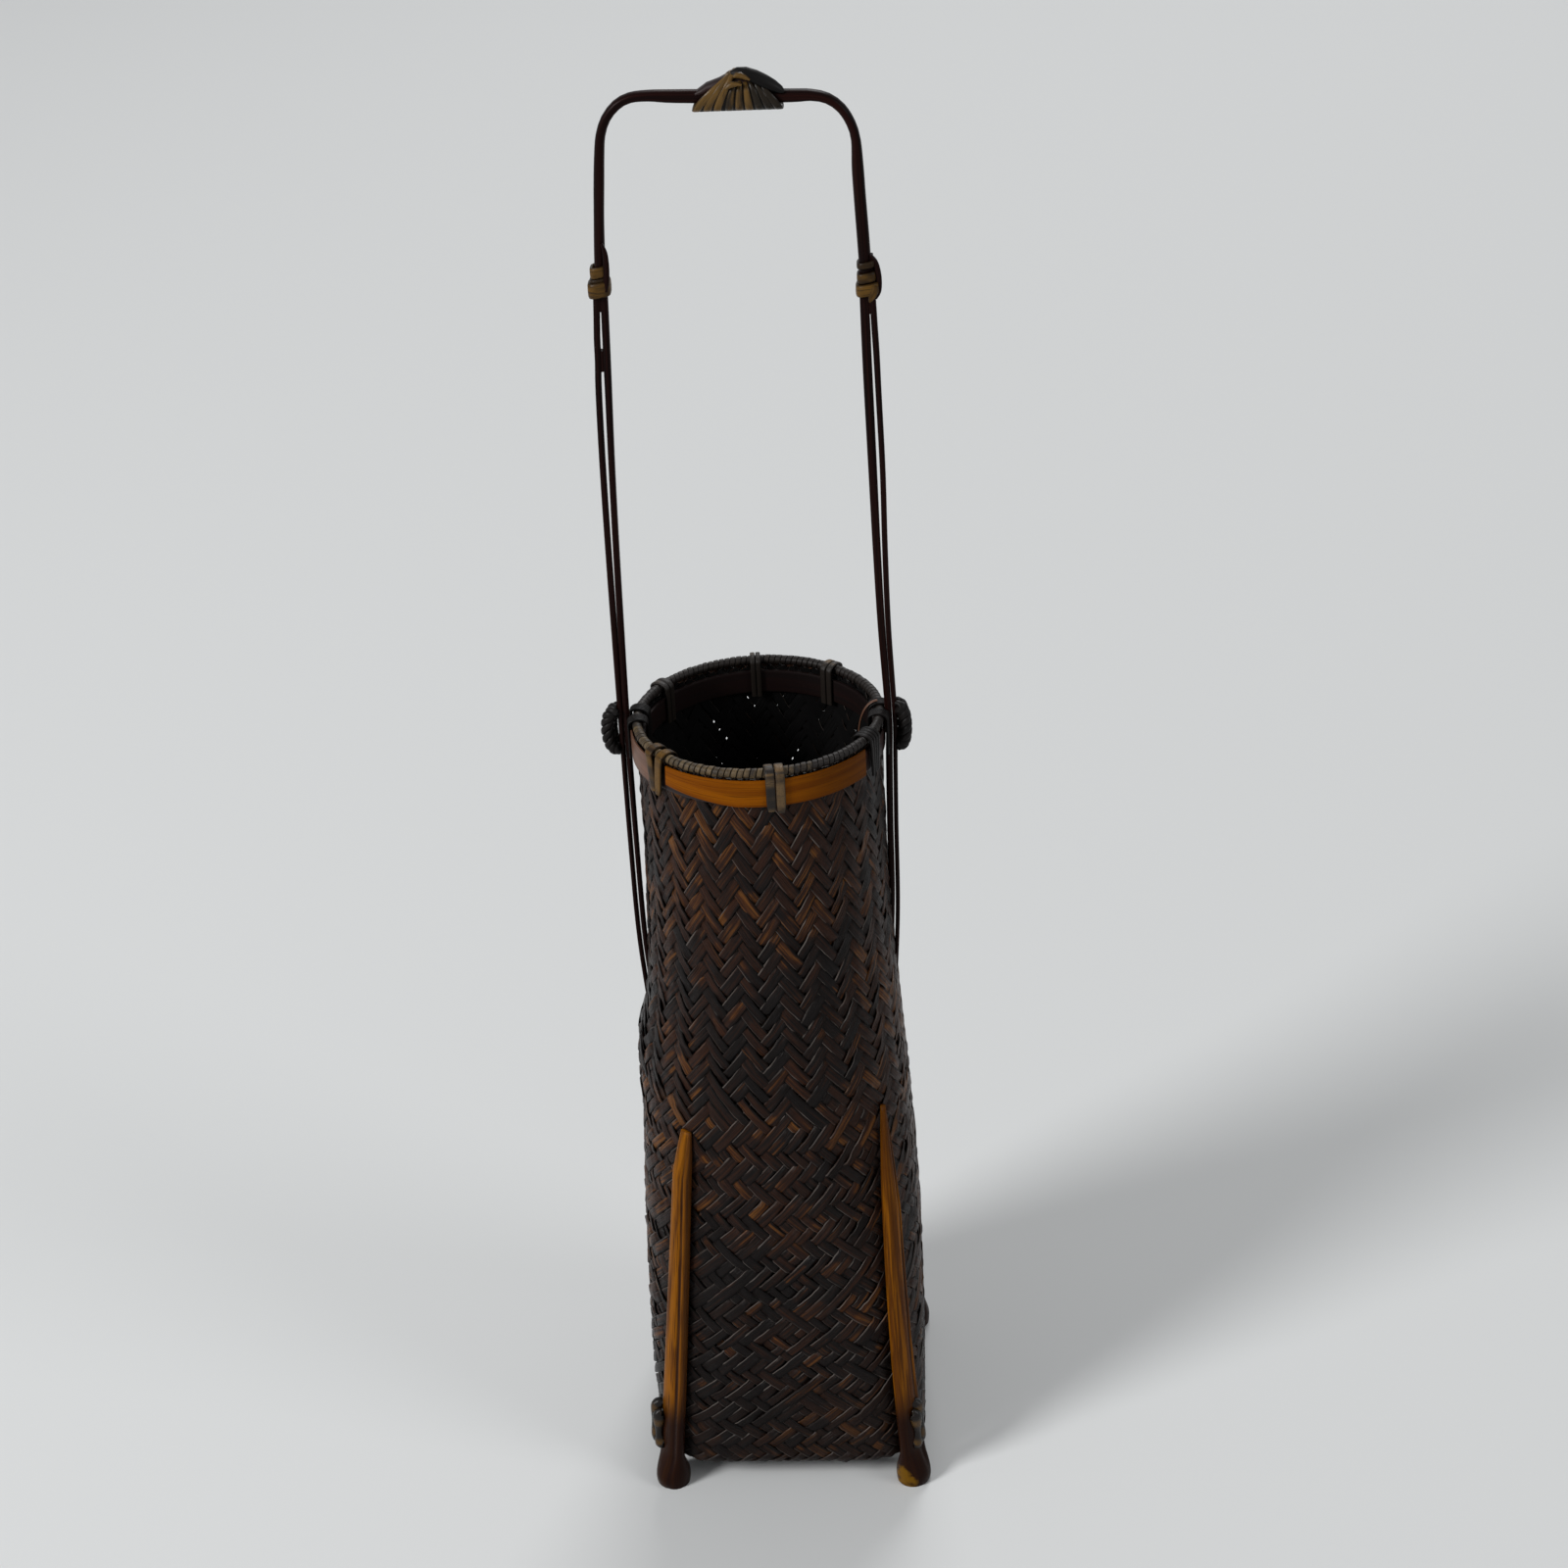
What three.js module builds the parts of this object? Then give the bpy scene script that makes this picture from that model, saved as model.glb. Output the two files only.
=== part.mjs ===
import * as THREE from 'three';

// Bamboo flower basket: a plaited body, square at the floor and round at the mouth, on four
// split-bamboo legs, with a tall bow handle and a bamboo water tube that lifts out.
// Millimetres, +Z up. The origin is on the ground under the middle, and the front faces -Y.

// Fit
const CLEARANCE = 0.3; // gap between pieces that touch

// Plaited body
const BODY_BOTTOM = 10; // ground to the underside of the floor
const BODY_TOP = 341; // ground to the upper edge of the weave
const BASE_HALF_WIDTH = 57.5; // middle to a flat side, near the floor
const MOUTH_RADIUS = 48.2;
const BASE_CORNER = 50; // distance of the base's rounded corner from the middle, along each side
const WALL = 1; // thickness under the weave's ridges
const PLAIT_DEPTH = 1.2; // rise of the weave's ridges above the wall
const PLAIT_ROW = 17; // height of one row of the herringbone
const PLAIT_ZIGZAG = 4; // half the height of a row's zigzag
const FLOOR_EDGE_RADIUS = 7;
const TAPER_START = 85; // height where the sides begin to draw in
const NECK_LENGTH = 26; // straight round stretch below the mouth
const ROUND_HEIGHT = 240; // height from which the plan is round

// Water tube
const TUBE_RADIUS = 31;
const TUBE_WALL = 5;
const TUBE_HEIGHT = 200;
const TUBE_FLOOR = 8;
const TUBE_NODE_HEIGHT = 118; // height of the culm's ring above the tube's foot
const TUBE_NODE_RISE = 1.2;
const TUBE_NODE_LENGTH = 9;

// Rim
const BAND_HEIGHT = 10.5;
const OUTER_BAND = 1.6;
const INNER_BAND = 1.6;
const COIL_RADIUS = 2.5; // half the thickness of the bound ring on the mouth
const LASHING_WIDTH = 8;
const LASHING_THICKNESS = 1.1;
const LASHING_TAIL = 2; // length that hangs below the outer band
const TIE_WIDTH = 4.6; // each of the two ties beside a pair of handle strips

// Handle
const BOW_TOP = 588.5; // ground to the middle of the bow's bar
const BOW_HALF_SPAN = 45.8; // middle to the bow's upright, at the bar
const BOW_WIDTH = 4;
const BOW_DEPTH = 5;
const BOW_CORNER = 17; // length of each bend along the bar and the upright
const SPLICE_DROP = 65; // from the bar's middle down to where the bow ends in its two strips
const SPLICE_HALF_SPAN = 48;
const SPLICE_OVERLAP = 10.5; // how far the second strip runs up beside the bow
const STRIP_WIDTH = 2;
const STRIP_DEPTH = 3.6;
const STRIP_GAP = 0.5; // between the two strips of a pair at the rim
const TUCK_HEIGHT = 208; // height where the strips go under the weave
const HUG_HEIGHT = 268; // height below which the strips lie on the weave
const SIDE_KNOT_HEIGHT = 20;
const SIDE_KNOT_REACH = 3.6;
const SIDE_KNOT_RADIUS = 2.8;

// Windings
const WRAP_THICKNESS = 1.2;
const SPLICE_WRAP_WIDTH = 3.4;
const SPLICE_WRAP_PITCH = 4.4;
const SPLICE_WRAP_TURNS = 3.5;
const TOP_WRAP_WIDTH = 2.4;
const TOP_WRAP_PITCH = 3.1;
const TOP_WRAP_TURNS = 10;
const TOP_KNOT_RISE = 7.6; // how far the fan stands above a plain wrap
const TOP_KNOT_OFFSET = 4; // middle of the fan, right of the bow's middle
const TOP_CORE_DEPTH = 3;

// Legs
const LEG_HEIGHT = 180;
const LEG_WIDTH = 12.6;
const LEG_THICKNESS = 6;
const LEG_SHOULDER_WIDTH = 8; // width where the point begins
const LEG_POINT_LENGTH = 20;
const LEG_TIP_WIDTH = 2.2;
const LEFT_LEAN_ANGLE = 6.5; // degrees that the front left leg's point stands off the corner
const RIGHT_LEAN_ANGLE = 5; // degrees, the same for the front right leg
const RIGHT_BEND_ANGLE = -2.5; // degrees that the middle of that leg stands off a straight one
const FOOT_RADIUS = 7.6;
const FOOT_HEIGHT = 17;
const FOOT_BULGE = 4.5; // height where the foot is widest
const FOOT_ROUNDING = 0.45; // share of the flare that is rounded off under the foot
const LEG_KNOT_BOTTOM = 20;
const LEG_KNOT_HEIGHT = 22;
const LEG_KNOT_REACH = 2.8;
const LEG_KNOT_RADIUS = 2.6;

// Facets
const ROUND_SIDES = 40;
const WALL_STEPS = 13;
const EDGE_STEPS = 3;
const LOOP_STEPS = 24;
const LEG_SIDES = 12;
const FLARE_STEPS = 4; // of the foot's flare
const SHAFT_STEPS = 8; // of the leg's shaft
const POINT_STEPS = 3; // of the leg's point
const KNOT_SIDES = 8;
const KNOT_STEPS = 9; // an odd number, so that a loop has a straight stretch between its two bends

const { lerp, smoothstep, clamp, degToRad } = THREE.MathUtils;

const smokedBamboo = new THREE.MeshStandardMaterial({ color: 0x3a2a20, roughness: 0.6, metalness: 0 });
const goldenBamboo = new THREE.MeshStandardMaterial({ color: 0xa8641f, roughness: 0.4, metalness: 0 });
const darkBamboo = new THREE.MeshStandardMaterial({ color: 0x43201a, roughness: 0.4, metalness: 0 });
const legBamboo = new THREE.MeshStandardMaterial({ color: 0x8a5a22, roughness: 0.4, metalness: 0 });
const rattan = new THREE.MeshStandardMaterial({ color: 0x6b5230, roughness: 0.5, metalness: 0 });
const darkRattan = new THREE.MeshStandardMaterial({ color: 0x241a16, roughness: 0.5, metalness: 0 });
const tubeBamboo = new THREE.MeshStandardMaterial({ color: 0x8c7546, roughness: 0.5, metalness: 0 });

const basket = new THREE.Group();

function addPiece(name, geometry, material) {
  const piece = new THREE.Mesh(geometry, material);
  piece.name = name;
  basket.add(piece);
  return piece;
}

// Closed solid through rings of equal point count, each end closed by a fan. Rings run
// anticlockwise as seen from ahead.
function loft(rings) {
  const count = rings[0].length;
  const points = rings.flat();
  const index = [];
  for (let ring = 0; ring + 1 < rings.length; ring++) {
    for (let i = 0; i < count; i++) {
      const here = ring * count + i;
      const beside = ring * count + ((i + 1) % count);
      index.push(here, beside, beside + count, here, beside + count, here + count);
    }
  }
  const lastRing = (rings.length - 1) * count;
  const firstMiddle = points.length;
  const lastMiddle = points.length + 1;
  points.push(middleOf(rings[0]), middleOf(rings.at(-1)));
  for (let i = 0; i < count; i++) {
    const beside = (i + 1) % count;
    index.push(firstMiddle, beside, i, lastMiddle, lastRing + i, lastRing + beside);
  }
  const geometry = new THREE.BufferGeometry().setFromPoints(points);
  geometry.setIndex(index);
  return geometry;
}

function middleOf(points) {
  const sum = points.reduce((total, point) => total.add(point), new THREE.Vector3());
  return sum.divideScalar(points.length);
}

// Ring of a section placed at a station, with its first axis along u and its second along v
function sectionRing(section, station) {
  return section.map((corner) =>
    station.at.clone().addScaledVector(station.u, corner.x).addScaledVector(station.v, corner.y),
  );
}

// Rectangular section with its corners cut, as a planed strip has
function stripSection(width, depth) {
  const cut = Math.min(width, depth) / 4;
  const x = width / 2;
  const y = depth / 2;
  return [
    new THREE.Vector2(x, cut - y),
    new THREE.Vector2(x, y - cut),
    new THREE.Vector2(x - cut, y),
    new THREE.Vector2(cut - x, y),
    new THREE.Vector2(-x, y - cut),
    new THREE.Vector2(-x, cut - y),
    new THREE.Vector2(cut - x, -y),
    new THREE.Vector2(x - cut, -y),
  ];
}

// Strip that follows a route in the handle's plane, given as points of x and z
function planeStrip(route, width, depth) {
  const section = stripSection(width, depth);
  const v = new THREE.Vector3(0, 1, 0);
  const rings = route.map((point, i) => {
    const before = route[Math.max(i - 1, 0)];
    const after = route[Math.min(i + 1, route.length - 1)];
    const ahead = new THREE.Vector3(after.x - before.x, 0, after.y - before.y).normalize();
    const u = new THREE.Vector3().crossVectors(v, ahead);
    return sectionRing(section, { at: new THREE.Vector3(point.x, 0, point.y), u, v });
  });
  return loft(rings);
}

// Body: distance of the flat sides and of the corners from the middle at a height. The corners lean
// in along a straight line, so that straight legs lie on them.
function flatHalfWidth(z) {
  return lerp(BASE_HALF_WIDTH, MOUTH_RADIUS, smoothstep(z, TAPER_START, BODY_TOP - NECK_LENGTH));
}

function cornerHalfWidth(z) {
  const roundCorner = flatHalfWidth(ROUND_HEIGHT) * Math.SQRT1_2;
  const share = (z - BODY_BOTTOM) / (ROUND_HEIGHT - BODY_BOTTOM);
  return Math.max(lerp(BASE_CORNER, roundCorner, share), flatHalfWidth(z) * Math.SQRT1_2);
}

// Point of the plan at a share of a full turn from the middle of the right side. The plan is a
// square with round corners, and at the mouth the corners meet in a circle.
function planPoint(turn, z, inset) {
  const half = flatHalfWidth(z);
  const cornerRadius = (half - cornerHalfWidth(z)) / (1 - Math.SQRT1_2);
  const flat = half - cornerRadius;
  const side = Math.round(turn * 4);
  const along = (turn * 4 - side) * (2 * flat + (cornerRadius * Math.PI) / 2);
  const angle = Math.max(Math.abs(along) - flat, 0) / cornerRadius;
  const radius = cornerRadius - inset;
  const x = flat + radius * Math.cos(angle);
  const y = Math.sign(along) * (Math.min(Math.abs(along), flat) + radius * Math.sin(angle));
  return new THREE.Vector3(x, y, z).applyAxisAngle(new THREE.Vector3(0, 0, 1), (side * Math.PI) / 2);
}

function bodyRing(height, inset, zigzag = 0) {
  const ring = [];
  for (let i = 0; i < ROUND_SIDES; i++) {
    const rise = i % 2 ? zigzag : -zigzag;
    ring.push(planPoint(i / ROUND_SIDES, height + rise, inset));
  }
  return ring;
}

const edgeTop = BODY_BOTTOM + FLOOR_EDGE_RADIUS;
const bandBottom = BODY_TOP - BAND_HEIGHT;
const bodyDepth = WALL + PLAIT_DEPTH; // from the ridges' tops to the inner face

// Rounded edge of the floor, at a depth inside the outer face
function edgeRings(depth) {
  const edgeRadius = FLOOR_EDGE_RADIUS - depth;
  const rings = [];
  for (let step = 0; step < EDGE_STEPS; step++) {
    const angle = ((step / EDGE_STEPS) * Math.PI) / 2;
    const inset = depth + edgeRadius * (1 - Math.sin(angle));
    rings.push(bodyRing(edgeTop - edgeRadius * Math.cos(angle), inset));
  }
  return rings;
}

// Outer face: the weave's rows run round it in zigzag ridges with grooves between them, from the
// floor's edge to the foot of the rim's band
function plaitedRings() {
  const lines = 2 * Math.round((bandBottom - edgeTop) / PLAIT_ROW);
  const rings = [bodyRing(edgeTop, 0)];
  for (let line = 1; line < lines; line++) {
    const inset = line % 2 ? PLAIT_DEPTH : 0;
    rings.push(bodyRing(lerp(edgeTop, bandBottom, line / lines), inset, PLAIT_ZIGZAG));
  }
  rings.push(bodyRing(bandBottom, 0), bodyRing(BODY_TOP, 0));
  return rings;
}

function innerRings() {
  const rings = [];
  for (let step = 0; step <= WALL_STEPS; step++) {
    rings.push(bodyRing(lerp(edgeTop, BODY_TOP, step / WALL_STEPS), bodyDepth));
  }
  return rings;
}

const outerFace = [...edgeRings(0), ...plaitedRings()];
const innerFace = [...edgeRings(bodyDepth), ...innerRings()];
addPiece('woven_body', loft([...outerFace, ...innerFace.reverse()]), smokedBamboo);

// Solid turned about the vertical axis from points of radius and height
function turned(profile) {
  return new THREE.LatheGeometry(profile, ROUND_SIDES).rotateX(Math.PI / 2);
}

function closedProfile(corners) {
  const profile = corners.map(([radius, height]) => new THREE.Vector2(radius, height));
  profile.push(profile[0].clone());
  return profile;
}

// Water tube: a length of culm with one ring on it, closed below by the culm's own wall
const tubeProfile = [
  [0, 0],
  [TUBE_RADIUS, 0],
  [TUBE_RADIUS, TUBE_NODE_HEIGHT - TUBE_NODE_LENGTH / 2],
  [TUBE_RADIUS + TUBE_NODE_RISE, TUBE_NODE_HEIGHT],
  [TUBE_RADIUS, TUBE_NODE_HEIGHT + TUBE_NODE_LENGTH / 2],
  [TUBE_RADIUS, TUBE_HEIGHT],
  [TUBE_RADIUS - TUBE_WALL, TUBE_HEIGHT],
  [TUBE_RADIUS - TUBE_WALL, TUBE_FLOOR],
  [0, TUBE_FLOOR],
].map(([radius, height]) => new THREE.Vector2(radius, height));
const waterTube = addPiece('water_tube', turned(tubeProfile), tubeBamboo);
waterTube.position.z = BODY_BOTTOM + bodyDepth + CLEARANCE;

// Rim: a bamboo band on each face of the weave and a bound ring on top
const outerBandInside = flatHalfWidth(bandBottom) + CLEARANCE;
const outerBandOutside = outerBandInside + OUTER_BAND;
const innerBandOutside = MOUTH_RADIUS - bodyDepth - CLEARANCE;
const innerBandInside = innerBandOutside - INNER_BAND;

function bandGeometry(inside, outside) {
  return turned(
    closedProfile([
      [inside, bandBottom],
      [outside, bandBottom],
      [outside, BODY_TOP],
      [inside, BODY_TOP],
    ]),
  );
}

addPiece('rim_outer_band', bandGeometry(outerBandInside, outerBandOutside), goldenBamboo);
addPiece('rim_inner_band', bandGeometry(innerBandInside, innerBandOutside), darkBamboo);

const coilMiddle = (outerBandOutside + innerBandInside) / 2;
const coilHeight = BODY_TOP + CLEARANCE + COIL_RADIUS;
const coilProfile = [];
for (let i = 0; i < KNOT_SIDES; i++) {
  const angle = ((i + 0.5) / KNOT_SIDES) * 2 * Math.PI;
  const radius = coilMiddle + COIL_RADIUS * Math.cos(angle);
  coilProfile.push([radius, coilHeight + COIL_RADIUS * Math.sin(angle)]);
}
addPiece('rim_coil', turned(closedProfile(coilProfile)), rattan);

// Rim lashing: a flat strand that goes over the bound ring and down both bands
function lashingGeometry(width) {
  const halfWidth = width / 2;
  const innerFace = Math.sqrt(innerBandInside ** 2 - halfWidth ** 2) - CLEARANCE;
  const outerFace = outerBandOutside + CLEARANCE;
  const middle = (innerFace + outerFace) / 2;
  const archInside = Math.max((outerFace - innerFace) / 2, COIL_RADIUS + CLEARANCE);
  const archOutside = archInside + LASHING_THICKNESS;
  const tailEnd = bandBottom - LASHING_TAIL;
  const outline = new THREE.Shape();
  outline.moveTo(middle + archOutside, tailEnd);
  outline.absarc(middle, coilHeight, archOutside, 0, Math.PI, false);
  outline.lineTo(middle - archOutside, bandBottom);
  outline.lineTo(middle - archInside, bandBottom);
  outline.absarc(middle, coilHeight, archInside, Math.PI, 0, true);
  outline.lineTo(middle + archInside, tailEnd);
  const settings = { depth: width, bevelEnabled: false, curveSegments: KNOT_SIDES };
  return new THREE.ExtrudeGeometry(outline, settings).translate(0, 0, -halfWidth).rotateX(Math.PI / 2);
}

// Lashings by their bearing, in degrees from the front towards the right side
const lashingBearings = {
  front: 7,
  front_right: 62,
  back_right: 144,
  back: 185,
  back_left: 237,
  front_left: 307,
};

function addLashing(name, width, bearing, material) {
  const lashing = addPiece(name, lashingGeometry(width), material);
  lashing.rotation.z = bearing - Math.PI / 2;
}

for (const [place, bearing] of Object.entries(lashingBearings)) {
  addLashing(`rim_lashing_${place}`, LASHING_WIDTH, degToRad(bearing), rattan);
}

// Handle ties: a narrower lashing on each side of each pair of handle strips
const tieOffset = STRIP_DEPTH / 2 + 2 * CLEARANCE + TIE_WIDTH / 2;
const tieAngle = Math.asin(tieOffset / outerBandOutside);
const handleSides = { left: -1, right: 1 };
for (const [sideName, side] of Object.entries(handleSides)) {
  const bearing = (side * Math.PI) / 2;
  addLashing(`handle_tie_${sideName}_front`, TIE_WIDTH, bearing - side * tieAngle, darkRattan);
  addLashing(`handle_tie_${sideName}_back`, TIE_WIDTH, bearing + side * tieAngle, darkRattan);
}

// Bow: one strip bent into a U, with its ends at the splices
const spliceHeight = BOW_TOP - SPLICE_DROP;
const uprightLean = (SPLICE_HALF_SPAN - BOW_HALF_SPAN) / SPLICE_DROP;
const bendSpan = BOW_HALF_SPAN + uprightLean * BOW_CORNER;
const bow = new THREE.Path();
bow.moveTo(-SPLICE_HALF_SPAN, spliceHeight);
bow.lineTo(-bendSpan, BOW_TOP - BOW_CORNER);
bow.quadraticCurveTo(-BOW_HALF_SPAN, BOW_TOP, BOW_CORNER - BOW_HALF_SPAN, BOW_TOP);
bow.lineTo(BOW_HALF_SPAN - BOW_CORNER, BOW_TOP);
bow.quadraticCurveTo(BOW_HALF_SPAN, BOW_TOP, bendSpan, BOW_TOP - BOW_CORNER);
bow.lineTo(SPLICE_HALF_SPAN, spliceHeight);
addPiece('handle_bow', planeStrip(bow.getPoints(KNOT_SIDES), BOW_WIDTH, BOW_DEPTH), darkBamboo);

// Handle strips: the left strip of each pair carries on from the bow, and the right strip runs
// up beside it. Both pass outside the rim, come to lie on the weave and end where they go under it.
const spliceStep = BOW_WIDTH / 2 + CLEARANCE + STRIP_WIDTH / 2;
const rimSeat = outerBandOutside + CLEARANCE + STRIP_WIDTH / 2;
const pairStep = STRIP_WIDTH + STRIP_GAP;

function weaveSeat(z) {
  return flatHalfWidth(z) + CLEARANCE + STRIP_WIDTH / 2;
}

function stripRoute(side, outer) {
  const step = outer ? pairStep : 0;
  const carriesOn = outer === side < 0;
  const route = [
    new THREE.Vector2(side * (weaveSeat(TUCK_HEIGHT) + step), TUCK_HEIGHT),
    new THREE.Vector2(side * (weaveSeat(HUG_HEIGHT) + step), HUG_HEIGHT),
    new THREE.Vector2(side * (rimSeat + step), bandBottom),
    new THREE.Vector2(side * (rimSeat + step), BODY_TOP),
  ];
  const spliceX = side * SPLICE_HALF_SPAN;
  if (carriesOn) {
    route.push(new THREE.Vector2(spliceX, spliceHeight - CLEARANCE));
  } else {
    const topX = side * (SPLICE_HALF_SPAN - uprightLean * SPLICE_OVERLAP);
    route.push(new THREE.Vector2(spliceX + spliceStep, spliceHeight));
    route.push(new THREE.Vector2(topX + spliceStep, spliceHeight + SPLICE_OVERLAP));
  }
  return route;
}

// Loop of cord on the outer face of something upright. It leaves its lower seat square to the face,
// bends up, and comes back the same way to its upper seat.
function loopGeometry(lowerSeat, upperSeat, outward, reach, radius) {
  const upward = upperSeat.clone().sub(lowerSeat);
  const height = upward.length();
  upward.divideScalar(height);
  const u = new THREE.Vector3().crossVectors(outward, upward);
  const rings = [];
  for (let step = 0; step <= KNOT_STEPS; step++) {
    const upperHalf = 2 * step > KNOT_STEPS;
    const share = upperHalf ? KNOT_STEPS - step : step;
    const angle = ((share / Math.floor(KNOT_STEPS / 2)) * Math.PI) / 2;
    const rise = reach * (1 - Math.cos(angle));
    const out = CLEARANCE + reach * Math.sin(angle);
    const ahead = outward.clone().multiplyScalar((upperHalf ? -1 : 1) * Math.cos(angle));
    ahead.addScaledVector(upward, Math.sin(angle));
    const at = lowerSeat.clone().addScaledVector(upward, upperHalf ? height - rise : rise);
    at.addScaledVector(outward, out);
    const v = new THREE.Vector3().crossVectors(ahead, u);
    rings.push(sectionRing(roundSection(radius), { at, u, v }));
  }
  return loft(rings);
}

function roundSection(radius) {
  const section = [];
  for (let i = 0; i < KNOT_SIDES; i++) {
    const angle = (i / KNOT_SIDES) * 2 * Math.PI;
    section.push(new THREE.Vector2(radius * Math.cos(angle), radius * Math.sin(angle)));
  }
  return section;
}

for (const [sideName, side] of Object.entries(handleSides)) {
  for (const [place, outer] of [['inner', false], ['outer', true]]) {
    const strip = planeStrip(stripRoute(side, outer), STRIP_WIDTH, STRIP_DEPTH);
    addPiece(`handle_strip_${sideName}_${place}`, strip, darkBamboo);
  }
  const [, hug, bandFoot, rim, splice] = stripRoute(side, true);
  const outward = new THREE.Vector3(side, 0, 0);
  const seats = [BODY_TOP - SIDE_KNOT_HEIGHT / 2, BODY_TOP + SIDE_KNOT_HEIGHT / 2].map((z) => {
    const [low, high] = z < bandFoot.y ? [hug, bandFoot] : [rim, splice];
    const x = lerp(low.x, high.x, Math.max(z - low.y, 0) / (high.y - low.y)) + (side * STRIP_WIDTH) / 2;
    return new THREE.Vector3(x, 0, z);
  });
  const knot = loopGeometry(...seats, outward, SIDE_KNOT_REACH, SIDE_KNOT_RADIUS);
  addPiece(`handle_knot_${sideName}`, knot, darkRattan);
}

// Flat strand's section: long across the winding, thin and pointed at its edges
function strandSection(width) {
  const flat = width / 2 - WRAP_THICKNESS / 2;
  const half = WRAP_THICKNESS / 2;
  return [
    new THREE.Vector2(width / 2, 0),
    new THREE.Vector2(flat, half),
    new THREE.Vector2(-flat, half),
    new THREE.Vector2(-width / 2, 0),
    new THREE.Vector2(-flat, -half),
    new THREE.Vector2(flat, -half),
  ];
}

// Winding about an axis. loopAt gives a turn's half sizes and middle at a distance along the
// axis, and each turn is a rounded rectangle.
function windingGeometry(name, axis, across, width, pitch, turns, loopAt) {
  const section = strandSection(width);
  const up = new THREE.Vector3().crossVectors(axis, across);
  const steps = Math.round(turns * LOOP_STEPS);
  const rings = [];
  for (let step = 0; step <= steps; step++) {
    const angle = (step / LOOP_STEPS) * 2 * Math.PI;
    const along = (step / LOOP_STEPS - turns / 2) * pitch;
    const { halfAcross, halfUp, middle } = loopAt(along);
    const c = Math.sign(Math.cos(angle)) * Math.sqrt(Math.abs(Math.cos(angle)));
    const s = Math.sign(Math.sin(angle)) * Math.sqrt(Math.abs(Math.sin(angle)));
    const at = middle.clone().addScaledVector(axis, along);
    at.addScaledVector(across, halfAcross * c).addScaledVector(up, halfUp * s);
    const v = across.clone().multiplyScalar(c ** 3 / halfAcross).addScaledVector(up, s ** 3 / halfUp);
    rings.push(sectionRing(section, { at, u: axis, v: v.normalize() }));
  }
  console.log(`${name}: least gap to itself ${leastGap(rings).toFixed(2)} mm`);
  return loft(rings);
}

// Least distance between points of a winding that lie at least half a turn apart
function leastGap(rings) {
  let least = Infinity;
  for (let i = 0; i < rings.length; i++) {
    for (let j = i + LOOP_STEPS / 2; j < rings.length; j++) {
      for (const point of rings[i]) {
        for (const other of rings[j]) {
          least = Math.min(least, point.distanceTo(other));
        }
      }
    }
  }
  return least;
}

// Splice lashings: a flat strand wound round the bow's end and the strip beside it
const wrapOffset = CLEARANCE + WRAP_THICKNESS / 2;
const bundleWidth = BOW_WIDTH + CLEARANCE + STRIP_WIDTH;
for (const [sideName, side] of Object.entries(handleSides)) {
  const bundleMiddle = side * SPLICE_HALF_SPAN - BOW_WIDTH / 2 + bundleWidth / 2;
  const name = `handle_lashing_${sideName}`;
  const winding = windingGeometry(
    name,
    new THREE.Vector3(0, 0, 1),
    new THREE.Vector3(1, 0, 0),
    SPLICE_WRAP_WIDTH,
    SPLICE_WRAP_PITCH,
    SPLICE_WRAP_TURNS,
    (along) => ({
      halfAcross: bundleWidth / 2 + wrapOffset,
      halfUp: Math.max(BOW_DEPTH, STRIP_DEPTH) / 2 + wrapOffset,
      middle: new THREE.Vector3(bundleMiddle - side * uprightLean * along, 0, spliceHeight),
    }),
  );
  addPiece(name, winding, rattan);
}

// Top knot: a wad of strand ends on the bar, and a fan of turns bound over it
const topWrapLength = TOP_WRAP_TURNS * TOP_WRAP_PITCH;

function fanRise(along) {
  return TOP_KNOT_RISE * Math.cos(clamp(along / topWrapLength, -0.5, 0.5) * Math.PI);
}

const fan = windingGeometry(
  'top_knot_winding',
  new THREE.Vector3(1, 0, 0),
  new THREE.Vector3(0, 1, 0),
  TOP_WRAP_WIDTH,
  TOP_WRAP_PITCH,
  TOP_WRAP_TURNS,
  (along) => ({
    halfAcross: BOW_DEPTH / 2 + wrapOffset,
    halfUp: BOW_WIDTH / 2 + wrapOffset + fanRise(along) / 2,
    middle: new THREE.Vector3(TOP_KNOT_OFFSET, 0, BOW_TOP + fanRise(along) / 2),
  }),
);
addPiece('top_knot_winding', fan, rattan);

const coreHalfLength = topWrapLength / 2 - TOP_WRAP_PITCH;
const coreOutline = new THREE.Shape();
const coreTop = [];
for (let step = 0; step <= KNOT_STEPS; step++) {
  const along = lerp(-coreHalfLength, coreHalfLength, step / KNOT_STEPS);
  coreTop.push(new THREE.Vector2(along, fanRise(along) - CLEARANCE));
}
coreOutline.moveTo(-coreHalfLength, CLEARANCE);
coreTop.forEach((point) => coreOutline.lineTo(point.x, point.y));
coreOutline.lineTo(coreHalfLength, CLEARANCE);
const coreSettings = { depth: TOP_CORE_DEPTH, bevelEnabled: false };
const coreGeometry = new THREE.ExtrudeGeometry(coreOutline, coreSettings);
coreGeometry.translate(0, 0, -TOP_CORE_DEPTH / 2).rotateX(Math.PI / 2);
const topCore = addPiece('top_knot_core', coreGeometry, rattan);
topCore.position.set(TOP_KNOT_OFFSET, 0, BOW_TOP + BOW_WIDTH / 2);

// Legs: split bamboo along the body's corners, flared at the foot and cut to a point above
function cornerReach(z) {
  return cornerHalfWidth(Math.max(z, BODY_BOTTOM + FLOOR_EDGE_RADIUS)) * Math.SQRT2;
}

// Share of the foot's flare at a height: rounded under, widest at the bulge, drawn in above it
function footFlare(z) {
  if (z < FOOT_BULGE) {
    return 1 - FOOT_ROUNDING * (1 - z / FOOT_BULGE) ** 2;
  }
  return 1 - smoothstep(z, FOOT_BULGE, FOOT_HEIGHT);
}

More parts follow.
